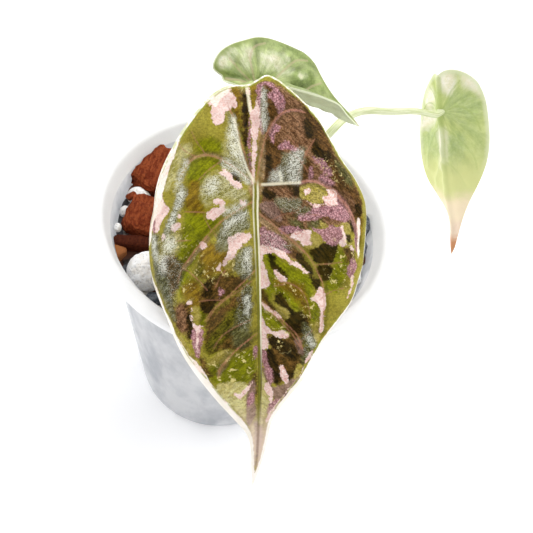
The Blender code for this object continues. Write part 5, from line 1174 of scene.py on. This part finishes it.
# In each layer: shade, second shade, softness of the edge and cover. In a tail: start, end and shade.
paleFinish = {
    "middle": {
        "ground": ("acb87a", "97a566"),
        # light and cream layers partly painted highlight, deep layer partly painted shade
        "layers": (
            ("deep", "647736", "7c8e4a", 1.8, 0.9),
            ("light", "c3cb9e", "d3d5b4", 1.4, 0.9),
            ("cream", "e2dcc6", "c8c5a2", 0.8, 0.8),
        ),
        "mottle": ("7b8c42", 0.4),
        "rays": 0.35,
        "vein": ("bfa98c", 0.5),
        "rim": "7d8b44",
        "edge": "dfe3c4",
        "under": ("e6efcc", 0.75),
        "tail": (),
    },
    "back": {
        "ground": ("c2cd82", "b8c47c"),
        "layers": (
            ("deep", "aebf7c", "b8c68a", 2.2, 0.85),
            ("light", "ccd694", "c2ce88", 2.2, 0.6),
            ("cream", "faf4e2", "f0ebd0", 2.0, 0.95),
        ),
        "mottle": ("b2c270", 0.25),
        "rays": 0.2,
        "vein": ("a6b866", 0.5),
        "rim": "e2e8c0",
        "edge": "e8ecce",
        "tail": ((-13, -28, "d9dc96"), (-30, -38, "f8e6c4"), (-41, -47, "f0d8bf"), (-48, -53, "cf9064")),
    },
}


def paleMaterial(name):
    look = paleFinish[name]
    made = newMaterial("blade_" + name + "_detail", Coat_Roughness=0.2, Specular_IOR_Level=0.2)
    flat = made.kept("flat", "Vector")
    along = made.axis(flat, 1)
    wander = made.blots(flat, 0.35, 4.0, 0.6) - 0.5
    grain = made.blots(flat, 1.8, 3.0, 0.65)
    colour = made.mix(made.ramp(made.blots(flat, 0.2, 3.0), 0.35, 0.65), *map(shade, look["ground"]))
    for number, (key, first, second, soft, cover) in enumerate(look["layers"]):
        share = made.ramp(made.kept(key) + wander * 3.5 + (grain - 0.5) * 1.2, -soft, soft) * cover
        mottle = made.ramp(made.blots(flat, 0.5 + 0.1 * number, 4.0, 0.65), 0.4, 0.6)
        colour = made.mix(share, colour, made.mix(mottle, shade(first), shade(second)))
    rays = made.blots(made.stretch(made.kept("spoke", "Vector"), 0.34, 0.1), 1.0, 4.0, 0.7)
    colour = made.mix(look["rays"], colour, made.ramp(rays + (grain - 0.5) * 0.3, 0.3, 0.7), "OVERLAY")
    tone, cover = look["mottle"]
    colour = made.mix(made.ramp(grain, 0.48, 0.68) * cover, colour, shade(tone))
    margin = made.kept("margin")
    colour = made.mix((1 - made.ramp(margin + wander * 1.5, 0.4, 2.2)) * 0.75, colour, shade(look["rim"]))
    colour = made.mix((1 - made.ramp(margin, 0.15, 0.4)) * 0.8, colour, shade(look["edge"]))
    for start, end, tone in look["tail"]:
        colour = made.mix(made.ramp(along + wander * 5.0, start, end), colour, shade(tone))
    vein = 1 - made.ramp(made.kept("rib"), 0.1, 0.55)
    vein = made.higher(vein, 1 - made.ramp(made.kept("midrib"), 0.4, 1.0))
    vein = vein * (1 - made.ramp(along, -8, -36) * len(look["tail"]) * 0.24)
    tone, cover = look["vein"]
    colour = made.mix(vein * cover, colour, shade(tone))
    under = made.kept("under")
    if "under" in look:
        tone, cover = look["under"]
        colour = made.mix(under * cover, colour, shade(tone))
    relief = made.blots(flat, 1.0, 3.0, 0.55) * 0.7 + made.cells(flat, 1.6) * 0.3
    return made.feed(
        Base_Color=colour,
        Roughness=0.4 + (grain - 0.5) * 0.1 + under * 0.12,
        Coat_Weight=(1 - under) * 0.08,
        Normal=made.bump(relief, 0.00025, 0.6),
    )


stalk = {
    "sides": 24,
    "step": 1.2,
    "rooted": (82.0, 87.0, 90.6),
    "approach": 4.5,  # how far under the blade the stalk turns towards it
    "seat": 0.06,
    "taper": 0.7,
    "grooves": (5, 0.05),
    "speck": {"front": "8a6a4c", "middle": "8a6a4c", "back": "b9c58c"},
    "shades": {"front": ("a7a46a", "8c7f4c"), "middle": ("b3ba80", "98a061"), "back": ("dfe4bd", "c3cc92")},
}


def stalkLine(leaf):
    base, placement = leaf["stalk"][0], leafPlacement(leaf)
    top = moved(np.array([[0, 0, -blade["thickness"] - blade["pad"][0] - stalk["seat"]]]), placement)[0]
    under = moved(np.array([[0, 0, -stalk["approach"]]]), placement)[0]
    rooted = [(*base, height) for height in stalk["rooted"]]
    return smoothLine([*rooted, *leaf["stalk"][1:], tuple(under), tuple(top)], step=stalk["step"])


def makeStalk(name, finish):
    leaf, sides = leaves[name], stalk["sides"]
    line, placement = stalkLine(leaf), leafPlacement(leaf)
    startRadius, endRadius = leaf["stalkRadius"]
    grooves, depth = stalk["grooves"]
    angles = np.arange(sides) * 2 * math.pi / sides
    across = placement[:3, 0]
    points, along, around = [], [], []
    for i, centre in enumerate(line[:-1]):
        way = line[i + 1] - line[max(i - 1, 0)]
        way /= np.linalg.norm(way)
        side = across - way * (across @ way)
        side /= np.linalg.norm(side)
        up = np.cross(way, side)
        radius = startRadius + (endRadius - startRadius) * (i / (len(line) - 1)) ** stalk["taper"]
        for angle in angles:
            reach = radius * (1 - depth * (1 + math.cos(grooves * angle + 0.05 * i)))
            points.append(centre + (side * math.cos(angle) + up * math.sin(angle)) * reach)
        along += [i * stalk["step"]] * sides
        around += angles.tolist()
    flat = np.array([(endRadius * math.cos(a), endRadius * math.sin(a)) for a in angles] + [(0.0, 0.0)])
    upper, lower, _ = leafSides(leaf, flat, leafOutline(leaf, 1.0))
    seat = lower - (upper - lower) / np.linalg.norm(upper - lower, axis=1)[:, None] * stalk["seat"]
    points += list(moved(seat, placement)) + [line[0]]
    along += [len(line) * stalk["step"]] * (sides + 1) + [0.0]
    around += angles.tolist() + [0.0, 0.0]
    last = (len(line) - 1) * sides
    faces = ringFaces(len(line), sides) + capFaces(sides, last, last + sides + 1, last + sides)
    around = np.array(around)
    run = np.column_stack([np.cos(around) * 2, np.sin(around) * 2, along])
    piece = newPiece("petiole_" + name + "_detail", points, faces, finish, kept={"run": run})
    settle(piece, "petiole_" + name)


def stalkMaterial(name):
    made = newMaterial("petiole_" + name + "_detail", Coat_Roughness=0.2, Coat_Weight=0.1)
    run = made.kept("run", "Vector")
    light, deep = map(shade, stalk["shades"][name])
    streaks = made.blots(made.stretch(run, 1.6, 1.6, 0.12), 1.0, 3.0)
    specks = made.ramp(made.blots(made.stretch(run, 1.0, 1.0, 0.5), 1.6, 2.0), 0.6, 0.7)
    colour = made.mix(made.ramp(streaks, 0.4, 0.62), light, deep)
    colour = made.mix(specks * 0.5, colour, shade(stalk["speck"][name]))
    relief = made.bump(streaks, 0.0002, 0.5)
    return made.feed(Base_Color=colour, Roughness=0.38 + streaks * 0.15, Normal=relief)


crown = {
    "foot": 66.0,
    "top": 90.0,
    "radius": 7.4,
    "sides": 72,
    "rows": 60,
    "scars": 5.0,  # rings left by old leaves
    "fibres": 0.14,
    "sheaths": ((182, 15.0), (-28, 11.0)),  # way in degrees, reach above the crown
    "sheathFoot": 78.0,
    "sheathRadius": 6.3,
    "sheathThickness": 0.45,
    "shades": ("8a7446", "4f3d22"),
    "green": "8c8f4c",
}


def crownPiece(finish):
    points, sides, rows = [], crown["sides"], crown["rows"]
    for height in np.linspace(crown["foot"], crown["top"], rows):
        share = (height - crown["foot"]) / (crown["top"] - crown["foot"])
        radius = crown["radius"] - 0.5 * (share * crown["scars"] % 1.0) - 0.9 * share ** 3
        radius -= 2.4 * max(0.0, 1 - share / 0.14) ** 1.5
        for i in range(sides):
            angle = 2 * math.pi * i / sides
            fibre = noise.noise((math.cos(angle) * 9, math.sin(angle) * 9, height * 0.25))
            reach = radius + crown["fibres"] * fibre
            points.append((reach * math.cos(angle), reach * math.sin(angle), height))
    points += [(0, 0, crown["foot"]), (0, 0, crown["top"] + 0.2)]
    faces = ringFaces(rows, sides) + capFaces(sides, (rows - 1) * sides, len(points) - 2, len(points) - 1)
    settle(newPiece("crown_detail", points, faces, finish), "crown")
    for number, (angle, reach) in enumerate(crown["sheaths"]):
        sheathPiece("crown_sheath_%d" % (number + 1), finish, angle, reach)


def sheathPiece(name, finish, angle, reach):  # a papery bract beside the stalks
    points, faces = [], []
    rows, across = 22, 15
    for side in (0.0, crown["sheathThickness"]):
        for row in range(rows):
            share = row / (rows - 1)
            spread = math.radians(62) * (1 - share ** 2.2) + math.radians(4)
            radius = crown["sheathRadius"] + 2.2 * share ** 2 - side + 0.12 * math.sin(9 * share + angle)
            for i in range(across):
                turn = math.radians(angle) + spread * (i / (across - 1) - 0.5)
                height = crown["sheathFoot"] + (reach + crown["top"] - crown["sheathFoot"]) * share
                points.append((radius * math.cos(turn), radius * math.sin(turn), height))
    layer = rows * across
    for row in range(rows - 1):
        for i in range(across - 1):
            a = row * across + i
            b, c, d = a + 1, a + across + 1, a + across
            faces += [(a, b, c, d), (layer + d, layer + c, layer + b, layer + a)]
    rim = list(range(across)) + [row * across + across - 1 for row in range(1, rows)]
    rim += [(rows - 1) * across + i for i in range(across - 2, -1, -1)]
    rim += [row * across for row in range(rows - 2, 0, -1)]
    for i, j in zip(rim, rim[1:] + rim[:1]):
        faces.append((j, i, layer + i, layer + j))
    settle(newPiece(name, points, faces, finish))


def crownMaterial():
    made = newMaterial("stem_base_detail")
    where = made.millimetres()
    fibres = made.blots(made.stretch(where, 1.4, 1.4, 0.15), 1.0, 4.0)
    colour = made.mix(made.ramp(fibres, 0.38, 0.62), *map(shade, crown["shades"]))
    cloud = made.ramp(made.blots(where, 0.3, 2.0), 0.5, 0.65)
    colour = made.mix(cloud * 0.6, colour, shade(crown["green"]))
    relief = made.bump(fibres, 0.0006, 0.7)
    return made.feed(Base_Color=colour, Roughness=0.55 + fibres * 0.25, Normal=relief)


pot = {
    "height": 90.0,
    "wall": (28.5, 42.2, 87.0),  # radius at the floor, then radius and height where it ends
    "thickness": 0.9,
    "foot": ((0, 0.0), (26.6, 0.0), (27.6, 0.1), (28.2, 0.4), (28.5, 0.9)),
    "lip": (  # radius and depth under the top
        (43.1, 2.0), (44.0, 1.2), (45.6, 1.1), (46.1, 1.5), (45.4, 4.8),
        (45.9, 4.85), (46.3, 4.6), (47.3, 1.2), (47.1, 0.5), (46.7, 0.15),
        (46.2, 0.0), (44.2, 0.0), (43.5, 0.2), (43.0, 0.7), (42.6, 1.6),
    ),
    "lipDepth": 4.2,
    "floor": ((27.4, 1.9), (26.6, 1.4), (0, 1.4)),
    "sides": 160,
    "drains": 8,
    "drainRadius": 2.6,
    "drainCircle": 20.5,
}
mix = {
    "level": 81.5,
    "slope": 0.055,
    "swell": 0.7,
    "gap": 1.2,  # to the outside of the pot's wall
    "reach": 38.0,
    "seed": 11,
    "tries": 6000,
    "count": 64,
    "largest": 1.25,
    "smallest": 0.5,
    "crowding": 0.78,
    "hole": 8.2,
    "tones": (0.15, 0.3, 0.95, 0.0, 0.1, 0.6, 0.3, 0.5, 0.4),
    "cells": (90, 170),
    "coreSides": 300,
    "coreRows": 130,
    "coreFoot": 2.1,
    "seam": 1.6,
}
# Kind, place, half size, turn and tilt of the chunks that show, and of small chips that lie loose.
seenChunks = (
    ("bark", (-31.4, 16.2, 83.6), (6.2, 9.4, 3.2), -22.0, 6.0),
    ("bark", (-31.0, -3.4, 82.6), (5.8, 7.4, 3.0), -6.0, 4.0),
    ("bark", (-32.0, -13.2, 80.8), (6.4, 2.4, 2.4), 12.0, 0.0),
    ("bark", (-35.6, -17.6, 80.4), (2.2, 3.0, 2.0), -30.0, 0.0),
    ("pumice", (-25.0, -22.2, 80.8), (6.8, 6.6, 6.4), 0.0, 0.0),
    ("pumice", (-37.4, -1.6, 81.0), (1.9, 2.2, 1.8), 0.0, 0.0),
    ("charcoal", (36.2, 11.4, 83.6), (3.4, 4.4, 4.2), 20.0, 10.0),
    ("charcoal", (36.6, 2.4, 81.8), (3.0, 4.2, 3.6), -8.0, 0.0),
    ("pumice", (35.4, -7.8, 80.4), (3.8, 4.2, 3.6), 0.0, 0.0),
)
looseChips = (
    ("bark", (-32.6, 21.4, 84.6), (4.8, 0.8, 0.6), 29.0, 0.0),
    ("pumice", (-31.8, 19.2, 84.2), (4.4, 1.4, 1.3), 29.0, 0.0),
    ("pumice", (-37.6, -9.6, 82.4), (1.3, 1.8, 1.2), 10.0, 0.0),
    ("bark", (-36.4, 3.6, 83.2), (2.2, 1.2, 0.9), 50.0, 0.0),
)
chunkSizes = {"bark": (6.8, 4.4, 2.6), "pumice": (4.2, 4.0, 3.7), "charcoal": (4.1, 3.3, 2.9)}
chunkShares = (("bark", 0.5), ("pumice", 0.85), ("charcoal", 1.0))


def wallRadius(height):
    low, high, end = pot["wall"]
    return low + (high - low) * height / end


def mixRadius(height):
    return wallRadius(height) - mix["gap"]


def mixLevel(x, y):
    swell = math.sin(0.31 * x + 1.0) * math.sin(0.27 * y)
    return mix["level"] + mix["slope"] * y + mix["swell"] * swell


def placeChunks(draw):  # those that show, then a seeded scatter from large to small
    placed = list(seenChunks)
    for attempt in range(mix["tries"]):
        pick = draw.random()
        kind = next(name for name, share in chunkShares if pick <= share)
        scale = mix["largest"] + (mix["smallest"] - mix["largest"]) * attempt / mix["tries"]
        half = tuple(scale * side * draw.uniform(0.85, 1.15) for side in chunkSizes[kind])
        reach = math.hypot(half[0], half[1]) * 0.8
        radius = math.sqrt(draw.random()) * mix["reach"]
        angle = draw.uniform(0, 2 * math.pi)
        x, y = radius * math.cos(angle), radius * math.sin(angle)
        turn, tilt = draw.uniform(0, 180), draw.uniform(-14, 14)
        if radius < mix["hole"] + 1.4 + reach or radius + reach > mixRadius(mix["level"]):
            continue
        if any(math.hypot(x - c[0], y - c[1]) < mix["crowding"] * (reach + 0.8 * math.hypot(h[0], h[1]))
               for _, c, h, _, _ in placed):
            continue
        placed.append((kind, (x, y, mixLevel(x, y) - 0.3 * half[2]), half, turn, tilt))
        if len(placed) == mix["count"]:
            break
    return placed


def ballPoints(level):
    shell = bmesh.new()
    bmesh.ops.create_icosphere(shell, subdivisions=level, radius=1.0)
    points = np.array([tuple(v.co) for v in shell.verts])
    faces = [tuple(v.index for v in f.verts) for f in shell.faces]
    shell.free()
    return points, faces


def chunkPoints(kind, centre, half, turn, tilt, level, number):
    points, faces = ballPoints(level)
    if kind == "bark":
        points = np.sign(points) * np.abs(points) ** 0.5
    elif kind == "charcoal":
        points = np.sign(points) * np.abs(points) ** 0.75
    made = []
    for point in points * np.array(half) * 0.93:
        near = Vector(point) + Vector((number * 7.3, number * 3.1, 0))
        if kind == "bark":  # layers along the flake, and a chipped outline
            layer = noise.noise((near.x * 0.3, near.y * 1.3, near.z * 2.4))
            chip = noise.noise(near * 0.35)
            bend = 1 + 0.06 * layer + 0.16 * chip + 0.04 * noise.noise(near * 1.1)
        elif kind == "pumice":  # small pits
            pit = noise.noise(near * 1.3)
            bend = 1 + 0.06 * noise.noise(near * 0.5) - 0.1 * max(0.0, pit - 0.12)
        else:
            bend = 1 + 0.14 * noise.noise(near * 0.5) + 0.05 * noise.noise(near * 1.6)
        made.append(point * bend)
    turning = Matrix.Rotation(math.radians(turn), 3, "Z") @ Matrix.Rotation(math.radians(tilt), 3, "X")
    made = np.array(made) @ np.array(turning).T + np.array(centre)
    radial = np.hypot(made[:, 0], made[:, 1])  # nothing reaches through the pot's wall
    most = np.array([mixRadius(z) - 0.05 for z in made[:, 2]])
    made[:, :2] *= np.minimum(1.0, most / np.maximum(radial, 1e-6))[:, None]
    return made, faces


def mixCore():  # the settled mass, pebbled where it lies against the wall
    draw = random.Random(mix["seed"])
    extra = random.Random(mix["seed"] + 1)
    places = [(maker.uniform(0, 2 * math.pi), maker.uniform(0, mix["level"]))
              for maker, count in zip((draw, extra), mix["cells"]) for _ in range(count)]
    kinds = np.array([extra.random() for _ in places])
    turns, highs = np.array(places).T
    sides, rows, low, wide = mix["coreSides"], mix["coreRows"], mix["coreFoot"], mix["reach"]
    angles = [2 * math.pi * i / sides for i in range(sides)]
    points, kept = [], []
    for row in range(rows):
        for angle in angles:
            level = mixLevel(wide * math.cos(angle), wide * math.sin(angle)) - 1.2
            height = low + (level - low) * row / (rows - 1)
            most = mixRadius(height)
            gap = np.remainder(angle - turns + math.pi, 2 * math.pi) - math.pi
            away = np.hypot(gap * most, height - highs)
            first, second = np.partition(away, 1)[:2]
            seam = min(1.0, (second - first) / 2.2)
            radius = most - 0.05 - mix["seam"] * (1 - seam) ** 2 - 0.3 * min(1.0, (first / 5) ** 2)
            points.append((radius * math.cos(angle), radius * math.sin(angle), height))
            kept.append((kinds[away.argmin()], seam, 0.0))
    shares = (0.72, 0.45, 0.2)  # rings of the top, towards its middle
    for share in shares:
        for angle in angles:
            x, y = wide * share * math.cos(angle), wide * share * math.sin(angle)
            points.append((x, y, mixLevel(x, y) - 1.0))
            kept.append((0.2, 0.0, 1.0))
    rows += len(shares)
    points += [(0, 0, low), (0, 0, mix["level"] - 1.0)]
    kept += [(0.2, 0.0, 1.0)] * 2
    faces = ringFaces(rows, sides) + capFaces(sides, (rows - 1) * sides, len(points) - 2, len(points) - 1)
    return points, faces, np.array(kept)


chunkFinish = {  # light, middle and deep
    "bark": ("964a28", "6c280f", "2e1008"),
    "pumice": ("ffffff", "f8f5f0", "a29e98"),
    "charcoal": ("74787e", "494d53", "1e2024"),
}
paleBark = "b87a4a"
# seam and shaded are painted shade: in the gaps between the pebbles, and over the top of the mass among the
# chunks
coreFinish = {"bark": "6e3f2a", "pumice": "dcd8d2", "charcoal": "55575c", "stain": "2e221a", "seam": "241a14",
              "shaded": "2a1b13"}


def chunkMaterial(kind):
    made = newMaterial("mix_" + kind, Specular_IOR_Level=0.12)
    where = made.millimetres()
    tone = made.kept("tone")
    light, middle, deep = map(shade, chunkFinish[kind])
    if kind == "bark":
        run = made.blots(made.stretch(where, 1.1, 0.22, 2.0), 1.0, 6.0, 0.7)
        fine = made.blots(where, 1.6, 3.0, 0.6)
    else:
        run = made.blots(where, 0.5, 4.0, 0.6)
        fine = made.cells(where, 1.1)
    colour = made.mix(made.ramp(run, 0.4, 0.6), middle, light)
    low, high, cover = (0.28, 0.46, 0.7) if kind == "bark" else (0.12, 0.34, 0.45)
    colour = made.mix((1 - made.ramp(fine, low, high)) * cover, colour, deep)
    if kind == "bark":
        colour = made.mix(made.ramp(tone, 0.3, 1.0) * 0.75, colour, deep)
        colour = made.mix(made.ramp(tone, 0.1, 0.0) * 0.7, colour, shade(paleBark))
    return made.feed(
        Base_Color=colour,
        Roughness=0.75 + run * 0.15,
        Normal=made.bump(run * 0.6 + fine * 0.4, 0.0008, 0.8),
    )


def coreMaterial():
    made = newMaterial("mix_against_the_wall")
    where = made.millimetres()
    cell, seam, inner = (made.axis(made.kept("cell", "Vector"), k) for k in range(3))
    fine = made.blots(where, 0.9, 4.0, 0.65)
    tone = {key: shade(code) for key, code in coreFinish.items()}
    colour = made.mix(made.ramp(cell, 0.48, 0.5), tone["bark"], tone["pumice"])
    colour = made.mix(made.ramp(cell, 0.8, 0.82), colour, tone["charcoal"])
    colour = made.mix(made.ramp(fine, 0.5, 0.7) * 0.4, colour, tone["stain"])
    # Painted shade in the sunken gaps between the pebbles, then over the top of the mass
    colour = made.mix(1 - made.ramp(seam, 0.1, 0.5), colour, tone["seam"])
    colour = made.mix(inner, colour, tone["shaded"])
    return made.feed(Base_Color=colour, Roughness=0.8 + fine * 0.1, Normal=made.bump(fine, 0.0008, 0.7))


def makeMix():
    points, faces, kept = mixCore()
    core = newPiece("mix_core", points, faces, coreMaterial(), kept={"cell": kept})
    settle(core, "potting_mix")
    draw = random.Random(mix["seed"])
    extra = random.Random(mix["seed"] + 2)
    groups = {kind: ([], []) for kind in chunkSizes}
    tones = {kind: [] for kind in chunkSizes}
    for number, chunk in enumerate([*placeChunks(draw), *looseChips]):
        seen = number < len(seenChunks)
        made, sides = chunkPoints(*chunk, 5 if seen else 4, number)
        points, faces = groups[chunk[0]]
        start = sum(map(len, points))
        faces += [tuple(start + i for i in side) for side in sides]
        points.append(made)
        tones[chunk[0]] += [mix["tones"][number] if seen else extra.random()] * len(made)
    for kind, (points, faces) in groups.items():
        kept = {"tone": tones[kind]}
        points = np.vstack(points)
        piece = newPiece("mix_" + kind, points, faces, chunkMaterial(kind), sharp=70, kept=kept)
        settle(piece)


def turned(name, profile, sides, finish):
    points, faces, rows = [], [], []
    for radius, height in profile:
        rows.append([len(points)] if radius == 0 else list(range(len(points), len(points) + sides)))
        for i in range(1 if radius == 0 else sides):
            angle = 2 * math.pi * i / sides
            points.append((radius * math.cos(angle), radius * math.sin(angle), height))
    for low, high in zip(rows, rows[1:]):
        for i in range(sides):
            j = (i + 1) % sides
            if len(low) == 1:
                faces.append((low[0], high[j], high[i]))
            elif len(high) == 1:
                faces.append((low[i], low[j], high[0]))
            else:
                faces.append((low[i], low[j], high[j], high[i]))
    return newPiece(name, points, faces, finish)


def makePot(finish):
    top, low = pot["height"], pot["height"] - pot["lipDepth"]
    wall = [(wallRadius(h), h) for h in np.linspace(3.0, low, 12)]
    inner = [(wallRadius(h) - pot["thickness"], h) for h in np.linspace(low, 3.4, 12)]
    lip = [(radius, top - depth) for radius, depth in pot["lip"]]
    piece = turned("pot_detail", [*pot["foot"], *wall, *lip, *inner, *pot["floor"]], pot["sides"], finish)
    cutters = bpy.data.collections.new("drains")
    radius, circle = pot["drainRadius"], pot["drainCircle"]
    for i in range(pot["drains"]):
        angle = 2 * math.pi * (i + 0.5) / pot["drains"]
        drain = turned("drain", [(0, -3), (radius, -3), (radius, 6), (0, 6)], 32, finish)
        drain.location = (circle * math.cos(angle) * mm, circle * math.sin(angle) * mm, 0)
        bpy.context.scene.collection.objects.unlink(drain)
        cutters.objects.link(drain)
    bpy.context.scene.collection.children.link(cutters)
    cut = piece.modifiers.new("drains", "BOOLEAN")
    cut.solver = "EXACT"
    cut.operand_type = "COLLECTION"
    cut.collection = cutters
    bpy.context.view_layer.update()
    ready = piece.evaluated_get(bpy.context.evaluated_depsgraph_get())
    piece.data = bpy.data.meshes.new_from_object(ready)
    piece.modifiers.clear()
    for drain in list(cutters.objects):
        bpy.data.objects.remove(drain, do_unlink=True)
    bpy.data.collections.remove(cutters)
    settle(piece, "pot")


potFinish = {
    "plastic": "e9ebef",
    "lip": "fbfbfa",
    "cloud": "959ba5",
    "cover": 0.8,
    "roughness": 0.36,
    "scatter": {"Subsurface_Weight": 0.75, "Subsurface_Radius": (1.0, 1.0, 1.0), "Subsurface_Scale": 0.006},
    "coat": {"Coat_Weight": 0.1, "Coat_Roughness": 0.25},
}


def potMaterial():
    made = newMaterial("frosted_plastic_detail", **potFinish["coat"], **potFinish["scatter"])
    where = made.millimetres()
    height = made.axis(where, 2)
    cloud = made.blots(made.stretch(where, 0.12, 0.12, 0.06), 1.0, 4.0, 0.6)
    smear = made.ramp(made.blots(made.stretch(where, 0.07, 0.07, 0.03), 1.0, 3.0), 0.46, 0.7)
    lip = made.ramp(height, 84.8, 85.6)
    colour = made.mix(lip, shade(potFinish["plastic"]), shade(potFinish["lip"]))
    grey = (made.ramp(cloud, 0.36, 0.68) * 0.5 + smear * 0.35) * (1 - lip)
    colour = made.mix(grey, colour, shade(potFinish["cloud"]))
    return made.feed(
        Base_Color=colour,
        Roughness=potFinish["roughness"] + cloud * 0.12,
        Alpha=potFinish["cover"] + cloud * 0.08 + lip * 0.1,
        Normal=made.bump(made.blots(where, 1.8, 2.0), 0.00008, 0.4),
    )


studio = {
    "floorHalf": 3000,
    "floorShades": ("fbfbfc", "f6f6f7"),
    "floorGlow": 0.14,
    "white": (1.0, 1.0, 1.0, 1.0),
    "skyStrength": 1.1,
    "dim": (0.1, 0.1, 0.105, 1.0),
    "dimWay": (0.0, -0.6, 0.8),  # to the part of the sky that the large leaf mirrors
    "dimEdge": (0.62, 0.95),
    "lamps": (  # name, place and size in metres, power in watts
        ("window", (0.4, 0.35, 1.1), 1.2, 9.0),
        ("fill", (-0.8, 0.0, 0.6), 0.8, 3.2),
        ("front", (0.75, -0.7, 0.35), 0.6, 1.2),
    ),
    "aim": (0, 0, 0.08),
}


def makeStage():
    half = studio["floorHalf"]
    corners = [(-half, -half, 0), (half, -half, 0), (half, half, 0), (-half, half, 0)]
    newPiece("floor", corners, [(0, 1, 2, 3)], floorMaterial())
    world = bpy.data.worlds.new("studio")
    bpy.context.scene.world = world
    world.use_nodes = True
    sky = Finish(world.node_tree)
    toward = {0: sky.node("TexCoord", output="Generated"), 1: Vector(studio["dimWay"]).normalized()}
    toward = sky.node("VectorMath", {"operation": "DOT_PRODUCT"}, toward, "Value")
    background = world.node_tree.nodes["Background"].inputs
    dim = sky.ramp(toward, *studio["dimEdge"])
    sky.put(background["Color"], sky.mix(dim, studio["white"], studio["dim"]))
    background["Strength"].default_value = studio["skyStrength"]
    for name, place, size, power in studio["lamps"]:
        light = bpy.data.lights.new(name, "AREA")
        light.size = size
        light.energy = power
        lamp = bpy.data.objects.new(name, light)
        bpy.context.scene.collection.objects.link(lamp)
        lamp.location = place
        lamp.rotation_euler = (Vector(studio["aim"]) - Vector(place)).to_track_quat("-Z", "Y").to_euler()


def floorMaterial():
    glow = {"Emission_Color": studio["white"], "Emission_Strength": studio["floorGlow"]}
    made = newMaterial("pale_floor", Roughness=0.6, **glow)
    cloud = made.blots(made.millimetres(), 0.01, 2.0)
    return made.feed(Base_Color=made.mix(cloud, *map(shade, studio["floorShades"])))


view = {
    "right": (0.9768, 0.1413, 0.1609),
    "down": (0.2103, -0.7747, -0.5964),
    "ahead": (0.0404, 0.6164, -0.7864),
    "place": (0.0, -0.15105, 0.259575),
    "lens": 50.0,
    "sensor": 36.0,
    "clip": (0.01, 20.0),
}


def makeCamera():
    ways = np.array([view["right"], view["down"], view["ahead"]])
    u, _, v = np.linalg.svd(ways)  # squares the three ways to each other
    right, down, ahead = u @ v
    turn = Matrix((right, -down, -ahead)).transposed().to_4x4()
    data = bpy.data.cameras.new("camera")
    data.lens, data.sensor_width = view["lens"], view["sensor"]
    data.clip_start, data.clip_end = view["clip"]
    camera = bpy.data.objects.new("camera", data)
    bpy.context.scene.collection.objects.link(camera)
    camera.matrix_world = Matrix.Translation(view["place"]) @ turn
    bpy.context.scene.camera = camera


makeCamera()
makeStage()
print("stage ready")
makeBlade("front", frontMaterial(), frontSectors, frontLines["fine"])
for name in ("middle", "back"):
    makeBlade(name, paleMaterial(name), paleSectors[name])
print("blades ready")
for name in leaves:
    makeStalk(name, stalkMaterial(name))
crownPiece(crownMaterial())
print("stalks and crown ready")
makeMix()
print("mix ready")
makePot(potMaterial())
print("pot ready")
bpy.context.scene.view_settings.view_transform = "Standard"
